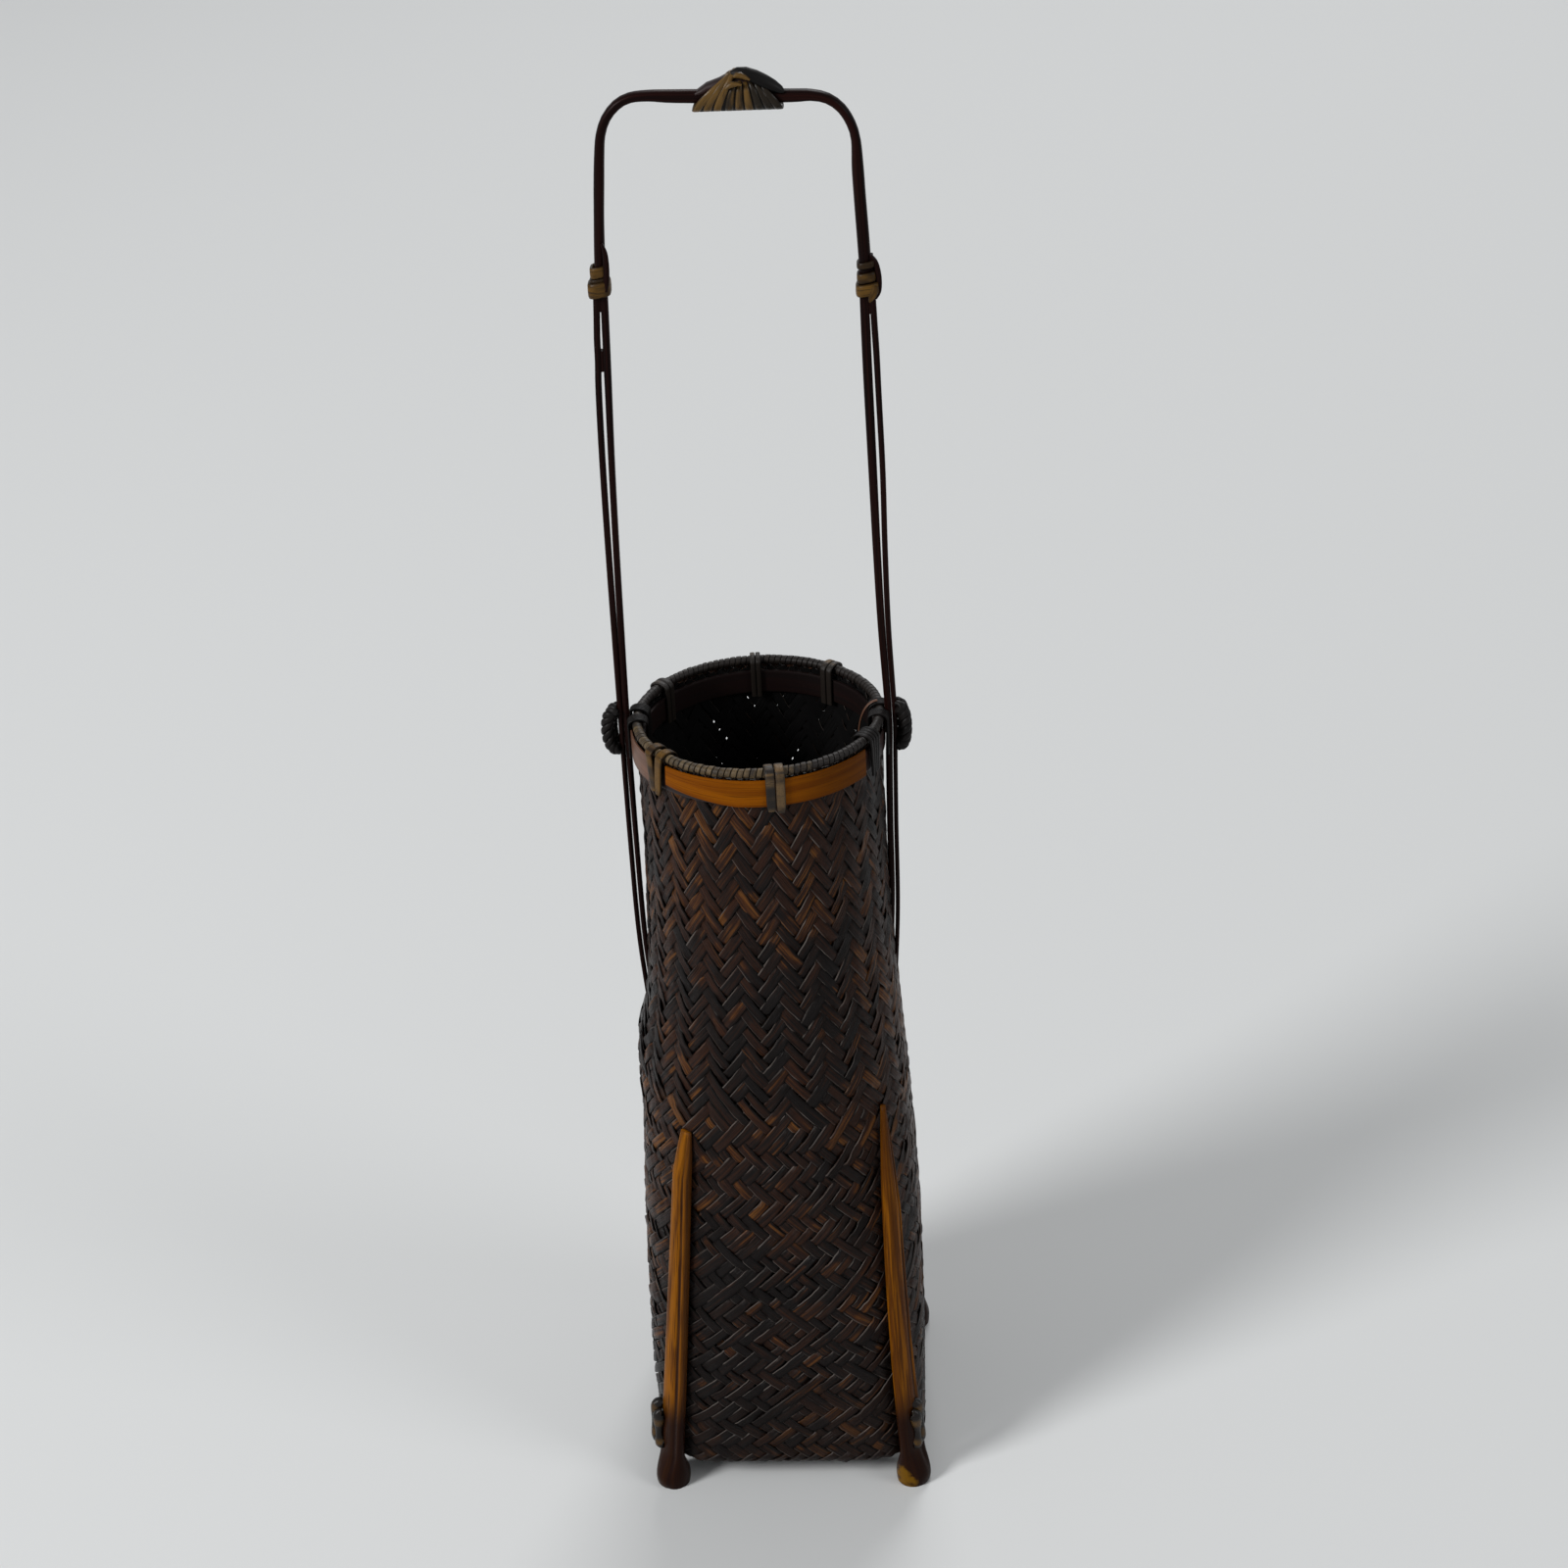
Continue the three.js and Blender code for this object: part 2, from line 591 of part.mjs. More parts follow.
function legHalfSizes(z) {
  const pointStart = LEG_HEIGHT - LEG_POINT_LENGTH;
  const taper = clamp((z - FOOT_HEIGHT) / (pointStart - FOOT_HEIGHT), 0, 1);
  const point = clamp((z - pointStart) / LEG_POINT_LENGTH, 0, 1);
  const flare = footFlare(z);
  const halfWidth = lerp(lerp(LEG_WIDTH, LEG_SHOULDER_WIDTH, taper), LEG_TIP_WIDTH, point) / 2;
  const halfThickness = lerp(LEG_THICKNESS, LEG_TIP_WIDTH, point) / 2;
  return {
    halfWidth: lerp(halfWidth, FOOT_RADIUS, flare),
    halfThickness: lerp(halfThickness, FOOT_RADIUS, flare),
  };
}

function legReach(z) {
  const seat = Math.max(z, FOOT_HEIGHT);
  return cornerReach(seat) + CLEARANCE + legHalfSizes(seat).halfThickness;
}

// Turns a point of a leg about the basket's middle, by the lean and the bend at its height
function leaned(point, lean, bend) {
  const share = point.z / LEG_HEIGHT;
  const angle = degToRad(lean * share + 4 * bend * share * (1 - share));
  return point.applyAxisAngle(new THREE.Vector3(0, 0, 1), angle);
}

function legGeometry(lean, bend) {
  const heights = [0, FOOT_BULGE / 2, FOOT_BULGE];
  for (let step = 1; step <= FLARE_STEPS; step++) {
    heights.push(lerp(FOOT_BULGE, FOOT_HEIGHT, step / FLARE_STEPS));
  }
  for (let step = 1; step <= SHAFT_STEPS; step++) {
    heights.push(lerp(FOOT_HEIGHT, LEG_HEIGHT - LEG_POINT_LENGTH, step / SHAFT_STEPS));
  }
  for (let step = 1; step <= POINT_STEPS; step++) {
    heights.push(lerp(LEG_HEIGHT - LEG_POINT_LENGTH, LEG_HEIGHT, step / POINT_STEPS));
  }
  const rings = heights.map((z) => {
    const { halfWidth, halfThickness } = legHalfSizes(z);
    const ring = [];
    for (let i = 0; i < LEG_SIDES; i++) {
      const angle = (i / LEG_SIDES) * 2 * Math.PI;
      const reach = legReach(z) + halfThickness * Math.cos(angle);
      ring.push(leaned(new THREE.Vector3(reach, halfWidth * Math.sin(angle), z), lean, bend));
    }
    return ring;
  });
  return loft(rings);
}

// Leg knots: a loop of cord on each leg, at the side of a front leg and behind a back leg
function legKnotSeat(z, leg) {
  const { halfWidth, halfThickness } = legHalfSizes(z);
  const middle = legReach(z) * Math.SQRT1_2;
  const furthest = Math.hypot(halfThickness, halfWidth) * Math.SQRT1_2;
  const shift = (halfThickness ** 2 - halfWidth ** 2) / (2 * furthest);
  const aside = leg.back < 0 ? furthest : shift;
  const behind = leg.back < 0 ? shift : furthest;
  const seat = new THREE.Vector3(leg.side * (middle + aside), leg.back * (middle + behind), z);
  return leaned(seat, leg.lean, leg.bend);
}

const legPlaces = {
  back_right: { side: 1, back: 1, lean: 0, bend: 0 },
  back_left: { side: -1, back: 1, lean: 0, bend: 0 },
  front_left: { side: -1, back: -1, lean: LEFT_LEAN_ANGLE, bend: 0 },
  front_right: { side: 1, back: -1, lean: RIGHT_LEAN_ANGLE, bend: RIGHT_BEND_ANGLE },
};
for (const [place, leg] of Object.entries(legPlaces)) {
  const piece = addPiece(`leg_${place}`, legGeometry(leg.lean, leg.bend), legBamboo);
  piece.rotation.z = Math.atan2(leg.back, leg.side);
  const lower = legKnotSeat(LEG_KNOT_BOTTOM, leg);
  const upper = legKnotSeat(LEG_KNOT_BOTTOM + LEG_KNOT_HEIGHT, leg);
  const outward = leg.back < 0 ? new THREE.Vector3(leg.side, 0, 0) : new THREE.Vector3(0, 1, 0);
  const knot = loopGeometry(lower, upper, outward, LEG_KNOT_REACH, LEG_KNOT_RADIUS);
  addPiece(`leg_knot_${place}`, knot, darkRattan);
}

export default basket;
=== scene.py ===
import math
from functools import partialmethod

import bpy
from mathutils import Matrix, Vector


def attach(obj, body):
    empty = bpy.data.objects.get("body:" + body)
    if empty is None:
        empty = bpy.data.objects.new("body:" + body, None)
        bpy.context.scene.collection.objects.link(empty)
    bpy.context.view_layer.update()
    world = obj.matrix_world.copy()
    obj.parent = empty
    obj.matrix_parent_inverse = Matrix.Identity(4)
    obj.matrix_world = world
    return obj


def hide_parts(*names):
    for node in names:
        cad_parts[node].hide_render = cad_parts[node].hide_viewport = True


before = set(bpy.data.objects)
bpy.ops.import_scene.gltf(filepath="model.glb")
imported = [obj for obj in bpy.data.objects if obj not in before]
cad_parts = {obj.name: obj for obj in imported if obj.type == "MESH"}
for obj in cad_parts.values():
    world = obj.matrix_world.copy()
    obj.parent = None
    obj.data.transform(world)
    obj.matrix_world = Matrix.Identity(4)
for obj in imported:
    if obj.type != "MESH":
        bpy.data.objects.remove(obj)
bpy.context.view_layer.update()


# The place where the basket stands: a pale floor under soft, neutral studio lamps.
# The camera looks down on the basket from the front, turned a little as it was held by hand.
MM = 0.001
CAMERA_PLACE = (71.0 * MM, -1009.2 * MM, 880.6 * MM)
CAMERA_LENS = 67.5
SENSOR_WIDTH = 36.0
CAMERA_TURN = math.radians(3.54)
CAMERA_DOWN = math.radians(29.28)
CAMERA_ROLL = math.radians(-3.07)

camera = bpy.data.objects.new("camera", bpy.data.cameras.new("camera"))
camera.data.lens = CAMERA_LENS
camera.data.sensor_width = SENSOR_WIDTH
camera.matrix_world = (
    Matrix.Translation(CAMERA_PLACE)
    @ Matrix.Rotation(CAMERA_TURN, 4, "Z")
    @ Matrix.Rotation(math.pi / 2 - CAMERA_DOWN, 4, "X")
    @ Matrix.Rotation(CAMERA_ROLL, 4, "Z")
)
bpy.context.collection.objects.link(camera)
bpy.context.scene.camera = camera
bpy.context.scene.view_settings.view_transform = "Standard"

FLOOR_HALF = 3.4
FLOOR_COLOUR = (0.62, 0.63, 0.63, 1.0)
FLOOR_ROUGHNESS = 0.9
floor_mesh = bpy.data.meshes.new("floor")
floor_mesh.from_pydata(
    [(x * FLOOR_HALF, y * FLOOR_HALF, 0) for x, y in ((-1, -1), (1, -1), (1, 1), (-1, 1))],
    [],
    [(0, 1, 2, 3)],
)
floor = bpy.data.objects.new("floor", floor_mesh)
bpy.context.collection.objects.link(floor)
floor_paper = bpy.data.materials.new("floor_paper")
floor_paper.use_nodes = True
floor_shader = floor_paper.node_tree.nodes["Principled BSDF"]
floor_shader.inputs["Base Color"].default_value = FLOOR_COLOUR
floor_shader.inputs["Roughness"].default_value = FLOOR_ROUGHNESS
floor_mesh.materials.append(floor_paper)

LAMP_TARGET = Vector((0, 0, 0.28))
LAMPS = {
    "left_lamp": ((-3.2, -2.2, 2.6), 1.4, 178),
    "right_lamp": ((3.4, -1.6, 2.4), 1.8, 42),
    "back_lamp": ((0.6, 3.6, 4.0), 2.4, 122),
}
for name, (place, breadth, watts) in LAMPS.items():
    lamp = bpy.data.objects.new(name, bpy.data.lights.new(name, "AREA"))
    lamp.data.shape = "DISK"
    lamp.data.size = breadth
    lamp.data.energy = watts
    lamp.location = place
    lamp.rotation_euler = (LAMP_TARGET - Vector(place)).to_track_quat("-Z", "Y").to_euler()
    bpy.context.collection.objects.link(lamp)

ROOM_COLOUR = (0.9, 0.92, 0.95, 1.0)
ROOM_LIGHT = 0.2
BACKDROP_BRIGHTNESS = 0.66
room = bpy.data.worlds.new("room")
room.use_nodes = True
room_tree = room.node_tree
room_tree.nodes["Background"].inputs["Color"].default_value = ROOM_COLOUR
rays = room_tree.nodes.new("ShaderNodeLightPath")
seen = room_tree.nodes.new("ShaderNodeMath")
seen.operation = "MAXIMUM"
room_tree.links.new(rays.outputs["Is Camera Ray"], seen.inputs[0])
room_tree.links.new(rays.outputs["Is Glossy Ray"], seen.inputs[1])
brightness = room_tree.nodes.new("ShaderNodeMapRange")
brightness.inputs["To Min"].default_value = ROOM_LIGHT
brightness.inputs["To Max"].default_value = BACKDROP_BRIGHTNESS
room_tree.links.new(seen.outputs[0], brightness.inputs["Value"])
room_tree.links.new(brightness.outputs[0], room_tree.nodes["Background"].inputs["Strength"])
bpy.context.scene.world = room


# The plaited wall: smoked bamboo strips in two families that lean against each other and cross
# three over, three under. The crossings run in upright zigzags above and in level rows below.
# The strips start under the floor's edge and end between the two bands of the rim.
class Measure:
    """A number that nodes work out at each point, so that a rule can be written as a plain sum."""

    def __init__(self, tree, socket):
        self.tree = tree
        self.socket = socket

    def work_out(self, operation, *others):
        node = self.tree.nodes.new("ShaderNodeMath")
        node.operation = operation
        for place, value in zip(node.inputs, (self, *others)):
            feed(self.tree, place, value)
        return Measure(self.tree, node.outputs[0])

    __add__ = __radd__ = partialmethod(work_out, "ADD")
    __sub__ = partialmethod(work_out, "SUBTRACT")
    __mul__ = __rmul__ = partialmethod(work_out, "MULTIPLY")
    __truediv__ = partialmethod(work_out, "DIVIDE")
    __mod__ = partialmethod(work_out, "FLOORED_MODULO")
    over = partialmethod(work_out, "GREATER_THAN")
    at_least = partialmethod(work_out, "MAXIMUM")
    at_most = partialmethod(work_out, "MINIMUM")
    floor = partialmethod(work_out, "FLOOR")
    size = partialmethod(work_out, "ABSOLUTE")
    sign = partialmethod(work_out, "SIGN")
    sin = partialmethod(work_out, "SINE")
    cos = partialmethod(work_out, "COSINE")
    exp = partialmethod(work_out, "EXPONENT")
    power = partialmethod(work_out, "POWER")

    def __rsub__(self, other):
        return self.work_out("MULTIPLY_ADD", -1.0, other)

    def nearest(self):
        return (self + 0.5).floor()

    def eased(self):
        held = self.at_least(0.0).at_most(1.0)
        return held * held * (3.0 - 2.0 * held)

    def between(self, low, high):
        return (self - low) / (high - low)

    def choose(self, one, other):
        return other + (one - other) * self


def feed(tree, place, value):
    """Gives a node's input a measure, the outcome of another node, or a plain value."""
    source = value.socket if isinstance(value, Measure) else value
    if isinstance(source, bpy.types.NodeSocket):
        tree.links.new(source, place)
    else:
        place.default_value = value


def add_node(tree, kind, **inputs):
    """A node with its inputs fed by name, spaces in the names written as underscores."""
    node = tree.nodes.new(kind)
    for name, value in inputs.items():
        feed(tree, node.inputs[name.replace("_", " ")], value)
    return node


def vector(tree, x, y, z):
    return add_node(tree, "ShaderNodeCombineXYZ", X=x, Y=y, Z=z).outputs[0]


def chance(x, y, z):
    """An even share from 0 to 1 that is always the same for the same three numbers."""
    noise = add_node(x.tree, "ShaderNodeTexWhiteNoise", Vector=vector(x.tree, x, y, z))
    return Measure(x.tree, noise.outputs[0])


def new_tree(name, sizes):
    """A node tree with one named input for each size, and those inputs as measures."""
    tree = bpy.data.node_groups.new(name, "GeometryNodeTree")
    tree.interface.new_socket("Geometry", in_out="OUTPUT", socket_type="NodeSocketGeometry")
    for size_name, size in sizes.items():
        kind = "NodeSocketInt" if isinstance(size, int) else "NodeSocketFloat"
        tree.interface.new_socket(size_name, in_out="INPUT", socket_type=kind)
    given = tree.nodes.new("NodeGroupInput")
    return tree, {size_name: Measure(tree, given.outputs[size_name]) for size_name in sizes}


def strip_curves(tree, strips, points):
    """As many open curves as there are strips, and each point's strip and step along it."""
    line = add_node(tree, "GeometryNodeCurvePrimitiveLine")
    stepped = add_node(tree, "GeometryNodeResampleCurve", Curve=line.outputs[0], Count=points)
    places = add_node(tree, "GeometryNodeMeshLine", Count=strips)
    copies = add_node(
        tree, "GeometryNodeInstanceOnPoints", Points=places.outputs[0], Instance=stepped.outputs[0]
    )
    curves = add_node(tree, "GeometryNodeRealizeInstances", Geometry=copies.outputs[0]).outputs[0]
    index = Measure(tree, tree.nodes.new("GeometryNodeInputIndex").outputs[0])
    strip = (index / points).floor()
    return curves, strip, index - strip * points


def mark(tree, geometry, name, value):
    """The geometry with a value left on each of its points, under a name."""
    node = add_node(tree, "GeometryNodeStoreNamedAttribute", Geometry=geometry, Value=value)
    node.inputs["Name"].default_value = name
    return node.outputs[0]


SECTION_SIDES = 8
CREASE = math.radians(40)


def finish_strips(tree, curves, place, normal, marks, section, material, breadth=1.0):
    """Lays the curves in place, gives each a flat, crowned section, and closes the tree."""
    width, thickness, squareness, crown = section
    for name, value in marks.items():
        curves = mark(tree, curves, name, value)
    curves = add_node(tree, "GeometryNodeSetPosition", Geometry=curves, Position=place).outputs[0]
    turned = add_node(tree, "GeometryNodeSetCurveNormal", Curve=curves)
    turned.mode = "FREE"
    tree.links.new(normal, turned.inputs["Normal"])
    ring = add_node(tree, "GeometryNodeCurvePrimitiveCircle", Resolution=SECTION_SIDES)
    index = Measure(tree, tree.nodes.new("GeometryNodeInputIndex").outputs[0])
    corner = index * (2 * math.pi / SECTION_SIDES)
    across = corner.cos().sign() * corner.cos().size().power(squareness)
    upward = corner.sin().sign() * corner.sin().size().power(crown)
    outline = mark(tree, mark(tree, ring.outputs[0], "across", across), "outside", upward)
    spot = vector(tree, upward * thickness * 0.5, across * width * 0.5, 0.0)
    outline = add_node(tree, "GeometryNodeSetPosition", Geometry=outline, Position=spot).outputs[0]
    swept = add_node(
        tree, "GeometryNodeCurveToMesh", Curve=turned.outputs[0], Profile_Curve=outline, Scale=breadth
    )
    swept.inputs["Fill Caps"].default_value = True
    whole = add_node(tree, "GeometryNodeRealizeInstances", Geometry=swept.outputs[0])
    coloured = add_node(tree, "GeometryNodeSetMaterial", Geometry=whole.outputs[0], Material=material)
    tree.links.new(coloured.outputs[0], tree.nodes.new("NodeGroupOutput").inputs[0])


def grow(name, tree, sizes):
    """Runs a tree with these sizes and keeps the result as a plain mesh."""
    piece = bpy.data.objects.new(name, bpy.data.meshes.new(name))
    bpy.context.collection.objects.link(piece)
    shape = piece.modifiers.new("shape", "NODES")
    shape.node_group = tree
    for item in tree.interface.items_tree:
        if item.in_out == "INPUT":
            shape[item.identifier] = sizes[item.name]
    grown = piece.evaluated_get(bpy.context.evaluated_depsgraph_get())
    mesh = bpy.data.meshes.new_from_object(grown)
    piece.modifiers.remove(shape)
    piece.data = mesh
    mesh.shade_smooth()
    mesh.set_sharp_from_angle(angle=CREASE)
    return piece


BODY_BOTTOM = 10 * MM
CORNER_AT_FLOOR = 50 * MM
ROUND_HEIGHT = 240 * MM
CORNER_AT_ROUND = 35.72 * MM
FLOOR_EDGE = 7 * MM
WEAVE_SIZES = {
    "Strips": 60,
    "Points": 203,
    "Lean": 1.0,
    "Strip width": 4.4 * MM,
    "Strip thickness": 0.85 * MM,
    "Lift": 0.6 * MM,
    "Arch": 0.45,
    "Twist": 0.9,
    "Wander": 0.4,
    "Unevenness": 0.3,
    "Depth": 1.25 * MM,
    "Left swell": 2.2 * MM,
    "Tuck swell": 2.2 * MM,
    "First rise": 5.42 * MM,
    "Rise growth": 0.00883,
    "Start": -10 * MM,
    "Pattern change": 58.0,
    "Body bottom": BODY_BOTTOM,
    "Floor edge": FLOOR_EDGE,
    "Base half width": 57.5 * MM,
    "Mouth radius": 48.2 * MM,
    "Taper start": 85 * MM,
    "Taper end": 315 * MM,
    "Corner at floor": CORNER_AT_FLOOR,
    "Corner where round": CORNER_AT_ROUND,
    "Round height": ROUND_HEIGHT,
}
CORNER_SHARE = math.sqrt(0.5)
SQUARENESS = 0.4
CROWN = 1.0
SWELL_HEIGHTS = (15 * MM, 50 * MM, 198 * MM, 232 * MM)
SWELL_TURNS = (0.25, 0.05)
TUCK_HEIGHT = 193 * MM
TUCK_SPREAD = 18 * MM
TUCK_TURNS = (0.07, 0.01)
FIRST_ROW = 0.25
ROWS_PER_STEP = 0.5
PITCHES_PER_ROW = 0.5
LEAST_ARCH = 0.8
TONE_ROWS = 3.0
OVER_THREE = 2.5
ZIGZAG_REPEAT = 6.0
LEVEL_REPEAT = 5.0
SLIP_COLUMNS = 4.0
SLIP_ROWS = 9.0
SLIP_STEPS = 3.0
ROWS_BEFORE_SLIPS = 11.0
RAGGED_COLUMNS = 3.0
RAGGED_ROWS = 8.0


def wall_point(size, turn, climb, depth, twist):
    """Place and facing of a strip, at a share of a turn and a length up from the floor's edge."""
    bend = (climb / size["Floor edge"]).at_least(0.0).at_most(math.pi / 2)
    above = (climb - size["Floor edge"] * (math.pi / 2)).at_least(0.0)
    height = size["Body bottom"] + size["Floor edge"] * (1.0 - bend.cos()) + above + depth * bend.cos()
    inset = size["Floor edge"] * (1.0 - bend.sin()) + (climb * -1.0).at_least(0.0) + depth * bend.sin()
    from_left = (turn - turn.floor() - 0.5).size()
    low, full, fading, high = SWELL_HEIGHTS
    swollen = height.between(low, full).eased() * height.between(high, fading).eased()
    over_strips = (((height - TUCK_HEIGHT) / TUCK_SPREAD).power(2.0) * -1.0).exp()
    inset = inset - size["Left swell"] * from_left.between(*SWELL_TURNS).eased() * swollen
    inset = inset - size["Tuck swell"] * from_left.between(*TUCK_TURNS).eased() * over_strips
    taper = height.between(size["Taper start"], size["Taper end"]).eased()
    half = size["Base half width"] + (size["Mouth radius"] - size["Base half width"]) * taper
    lean = height.between(size["Body bottom"], size["Round height"])
    corner = size["Corner at floor"] + (size["Corner where round"] - size["Corner at floor"]) * lean
    corner_radius = (half - corner.at_least(half * CORNER_SHARE)) / (1.0 - CORNER_SHARE)
    flat = half - corner_radius
    side = (turn * 4.0).nearest()
    along = (turn * 4.0 - side) * (2.0 * flat + corner_radius * (math.pi / 2))
    angle = (along.size() - flat).at_least(0.0) / corner_radius
    out_x = angle.cos()
    out_y = along.sign() * angle.sin()
    x = flat + (corner_radius - inset) * out_x
    y = along.sign() * along.size().at_most(flat) + (corner_radius - inset) * out_y
    quarter = side * (math.pi / 2)
    cosine = quarter.cos()
    sine = quarter.sin()
    tree = turn.tree
    place = vector(tree, x * cosine - y * sine, x * sine + y * cosine, height)
    facing_x = (out_x * cosine - out_y * sine) * bend.sin()
    facing_y = (out_x * sine + out_y * cosine) * bend.sin()
    facing_z = bend.cos() * -1.0 - size["Lean"] * twist
    normal = vector(tree, facing_x - facing_y * twist, facing_y + facing_x * twist, facing_z)
    return place, normal


def grain(x, y, z, detail=3.0):
    """Soft, cloudy variation about a half, with finer clouds in it the more detail it has."""
    place = vector(x.tree, x, y, z)
    noise = add_node(x.tree, "ShaderNodeTexNoise", Vector=place, Scale=1.0, Detail=detail)
    return Measure(x.tree, noise.outputs[0])


def weave_tree(material):
    """The rule of the wall: where each strip goes, and where it is on top of the others."""
    tree, size = new_tree("plaited_wall", WEAVE_SIZES)
    curves, strip, step = strip_curves(tree, size["Strips"], size["Points"])
    row = FIRST_ROW + step * ROWS_PER_STEP
    crossing = row.nearest()

    def right_on_top(crossing):
        column = (2.0 * strip + size["Lean"] * crossing) % (2.0 * size["Strips"])
        patch = chance((column / SLIP_COLUMNS).floor(), (crossing / SLIP_ROWS).floor(), 3.0)
        slip = (patch * SLIP_STEPS).floor() * crossing.over(ROWS_BEFORE_SLIPS)
        level_rows = 1.0 - ((crossing + slip) % LEVEL_REPEAT).over(OVER_THREE)
        zigzags = 1.0 - (column % ZIGZAG_REPEAT).over(OVER_THREE)
        ragged = chance((column / RAGGED_COLUMNS).floor(), 8.0, 1.0)
        in_zigzags = crossing.over(size["Pattern change"] + RAGGED_ROWS * ragged)
        return in_zigzags.choose(zigzags, level_rows)

    top_here = right_on_top(crossing)
    same_before = 1.0 - (right_on_top(crossing - 1.0) - top_here).size()
    same_after = 1.0 - (right_on_top(crossing + 1.0) - top_here).size()
    arch = LEAST_ARCH + size["Arch"] * same_before * same_after
    lift = size["Lean"] * (top_here * 2.0 - 1.0) * size["Lift"] * arch
    wander = grain(strip * 5.3, crossing * 0.12, size["Lean"] * 4.0, 1.0) - 0.5
    twist = grain(strip * 3.7, crossing * 0.45, size["Lean"] * 9.0, 1.0) - 0.5
    own_breadth = chance(strip, size["Lean"], 11.0) - 0.5
    local_breadth = grain(strip * 7.1, crossing * 0.25, size["Lean"] * 3.0, 1.0) - 0.5
    breadth = 1.0 + size["Unevenness"] * (own_breadth + local_breadth)
    pitches = row * PITCHES_PER_ROW
    rise = size["First rise"] / size["Rise growth"]
    climb = size["Start"] + rise * ((pitches * size["Rise growth"]).exp() - 1.0)
    turn = (strip + size["Lean"] * pitches + wander * size["Wander"]) / size["Strips"]
    place, normal = wall_point(size, turn, climb, size["Depth"] - lift, twist * size["Twist"])
    marks = {
        "along": climb,
        "strip": chance(strip, size["Lean"], 0.0),
        "float": chance(strip, (crossing / TONE_ROWS).floor(), size["Lean"] * 7.0),
    }
    section = (size["Strip width"], size["Strip thickness"], SQUARENESS, CROWN)
    finish_strips(tree, curves, place, normal, marks, section, material, breadth)
    return tree


COAT_ROUGHNESS = 0.2


def new_finish(name, roughness, shine=0.5, coat=0.0):
    """A material and its node tree, with the constants set on its shader."""
    material = bpy.data.materials.new(name)
    material.use_nodes = True
    shader = material.node_tree.nodes["Principled BSDF"]
    shader.inputs["Roughness"].default_value = roughness
    shader.inputs["Specular IOR Level"].default_value = shine
    shader.inputs["Coat Weight"].default_value = coat
    shader.inputs["Coat Roughness"].default_value = COAT_ROUGHNESS
    return material, material.node_tree


def readings(tree, *names):
    """The marks that were left on a piece's points under these names."""
    nodes = [tree.nodes.new("ShaderNodeAttribute") for name in names]
    for node, name in zip(nodes, names):
        node.attribute_name = name
    return [Measure(tree, node.outputs["Fac"]) for node in nodes]


def place_on_piece(tree):
    """The x, y and z of each point of a piece."""
    coordinates = tree.nodes.new("ShaderNodeTexCoord").outputs["Object"]
    parts = add_node(tree, "ShaderNodeSeparateXYZ", Vector=coordinates)
    return [Measure(tree, part) for part in parts.outputs]


def mixed(share, under, over):
    """One colour laid over another by a share. Each is a plain colour or an earlier mix."""
    tree = share.tree
    node = tree.nodes.new("ShaderNodeMix")
    node.data_type = "RGBA"
    feed(tree, node.inputs[0], share)
    colour_inputs = [place for place in node.inputs if place.type == "RGBA"]
    for place, colour in zip(colour_inputs, (under, over)):
        feed(tree, place, (*colour, 1.0) if isinstance(colour, tuple) else colour)
    return next(place for place in node.outputs if place.type == "RGBA")


def complete(colour, roughness, relief, strength, depth):
    """Gives a finish its colour and roughness, and a fine relief as bumps of some depth."""
    tree = roughness.tree
    bumps = add_node(tree, "ShaderNodeBump", Strength=strength, Distance=depth, Height=relief)
    outcome = {"Base Color": colour, "Roughness": roughness, "Normal": bumps.outputs[0]}
    for name, value in outcome.items():
        feed(tree, tree.nodes["Principled BSDF"].inputs[name], value)


SOOT = (0.0068, 0.0052, 0.0049)
RED_BROWN = (0.03, 0.0115, 0.0062)
RUST = (0.052, 0.017, 0.006)
AMBER = (0.12, 0.046, 0.010)
FIBRE_LINES = (0.0035, 0.0028, 0.0026)
PAINTED_CREVICE_SHADE = (0.0022, 0.0018, 0.0017)
WORN_EDGES_AND_GLINTS = (0.14, 0.12, 0.108)
PAINTED_INSIDE_SHADE = (0.002, 0.0018, 0.0018)
REDDER_ABOVE_HEIGHTS = (35 * MM, 95 * MM)


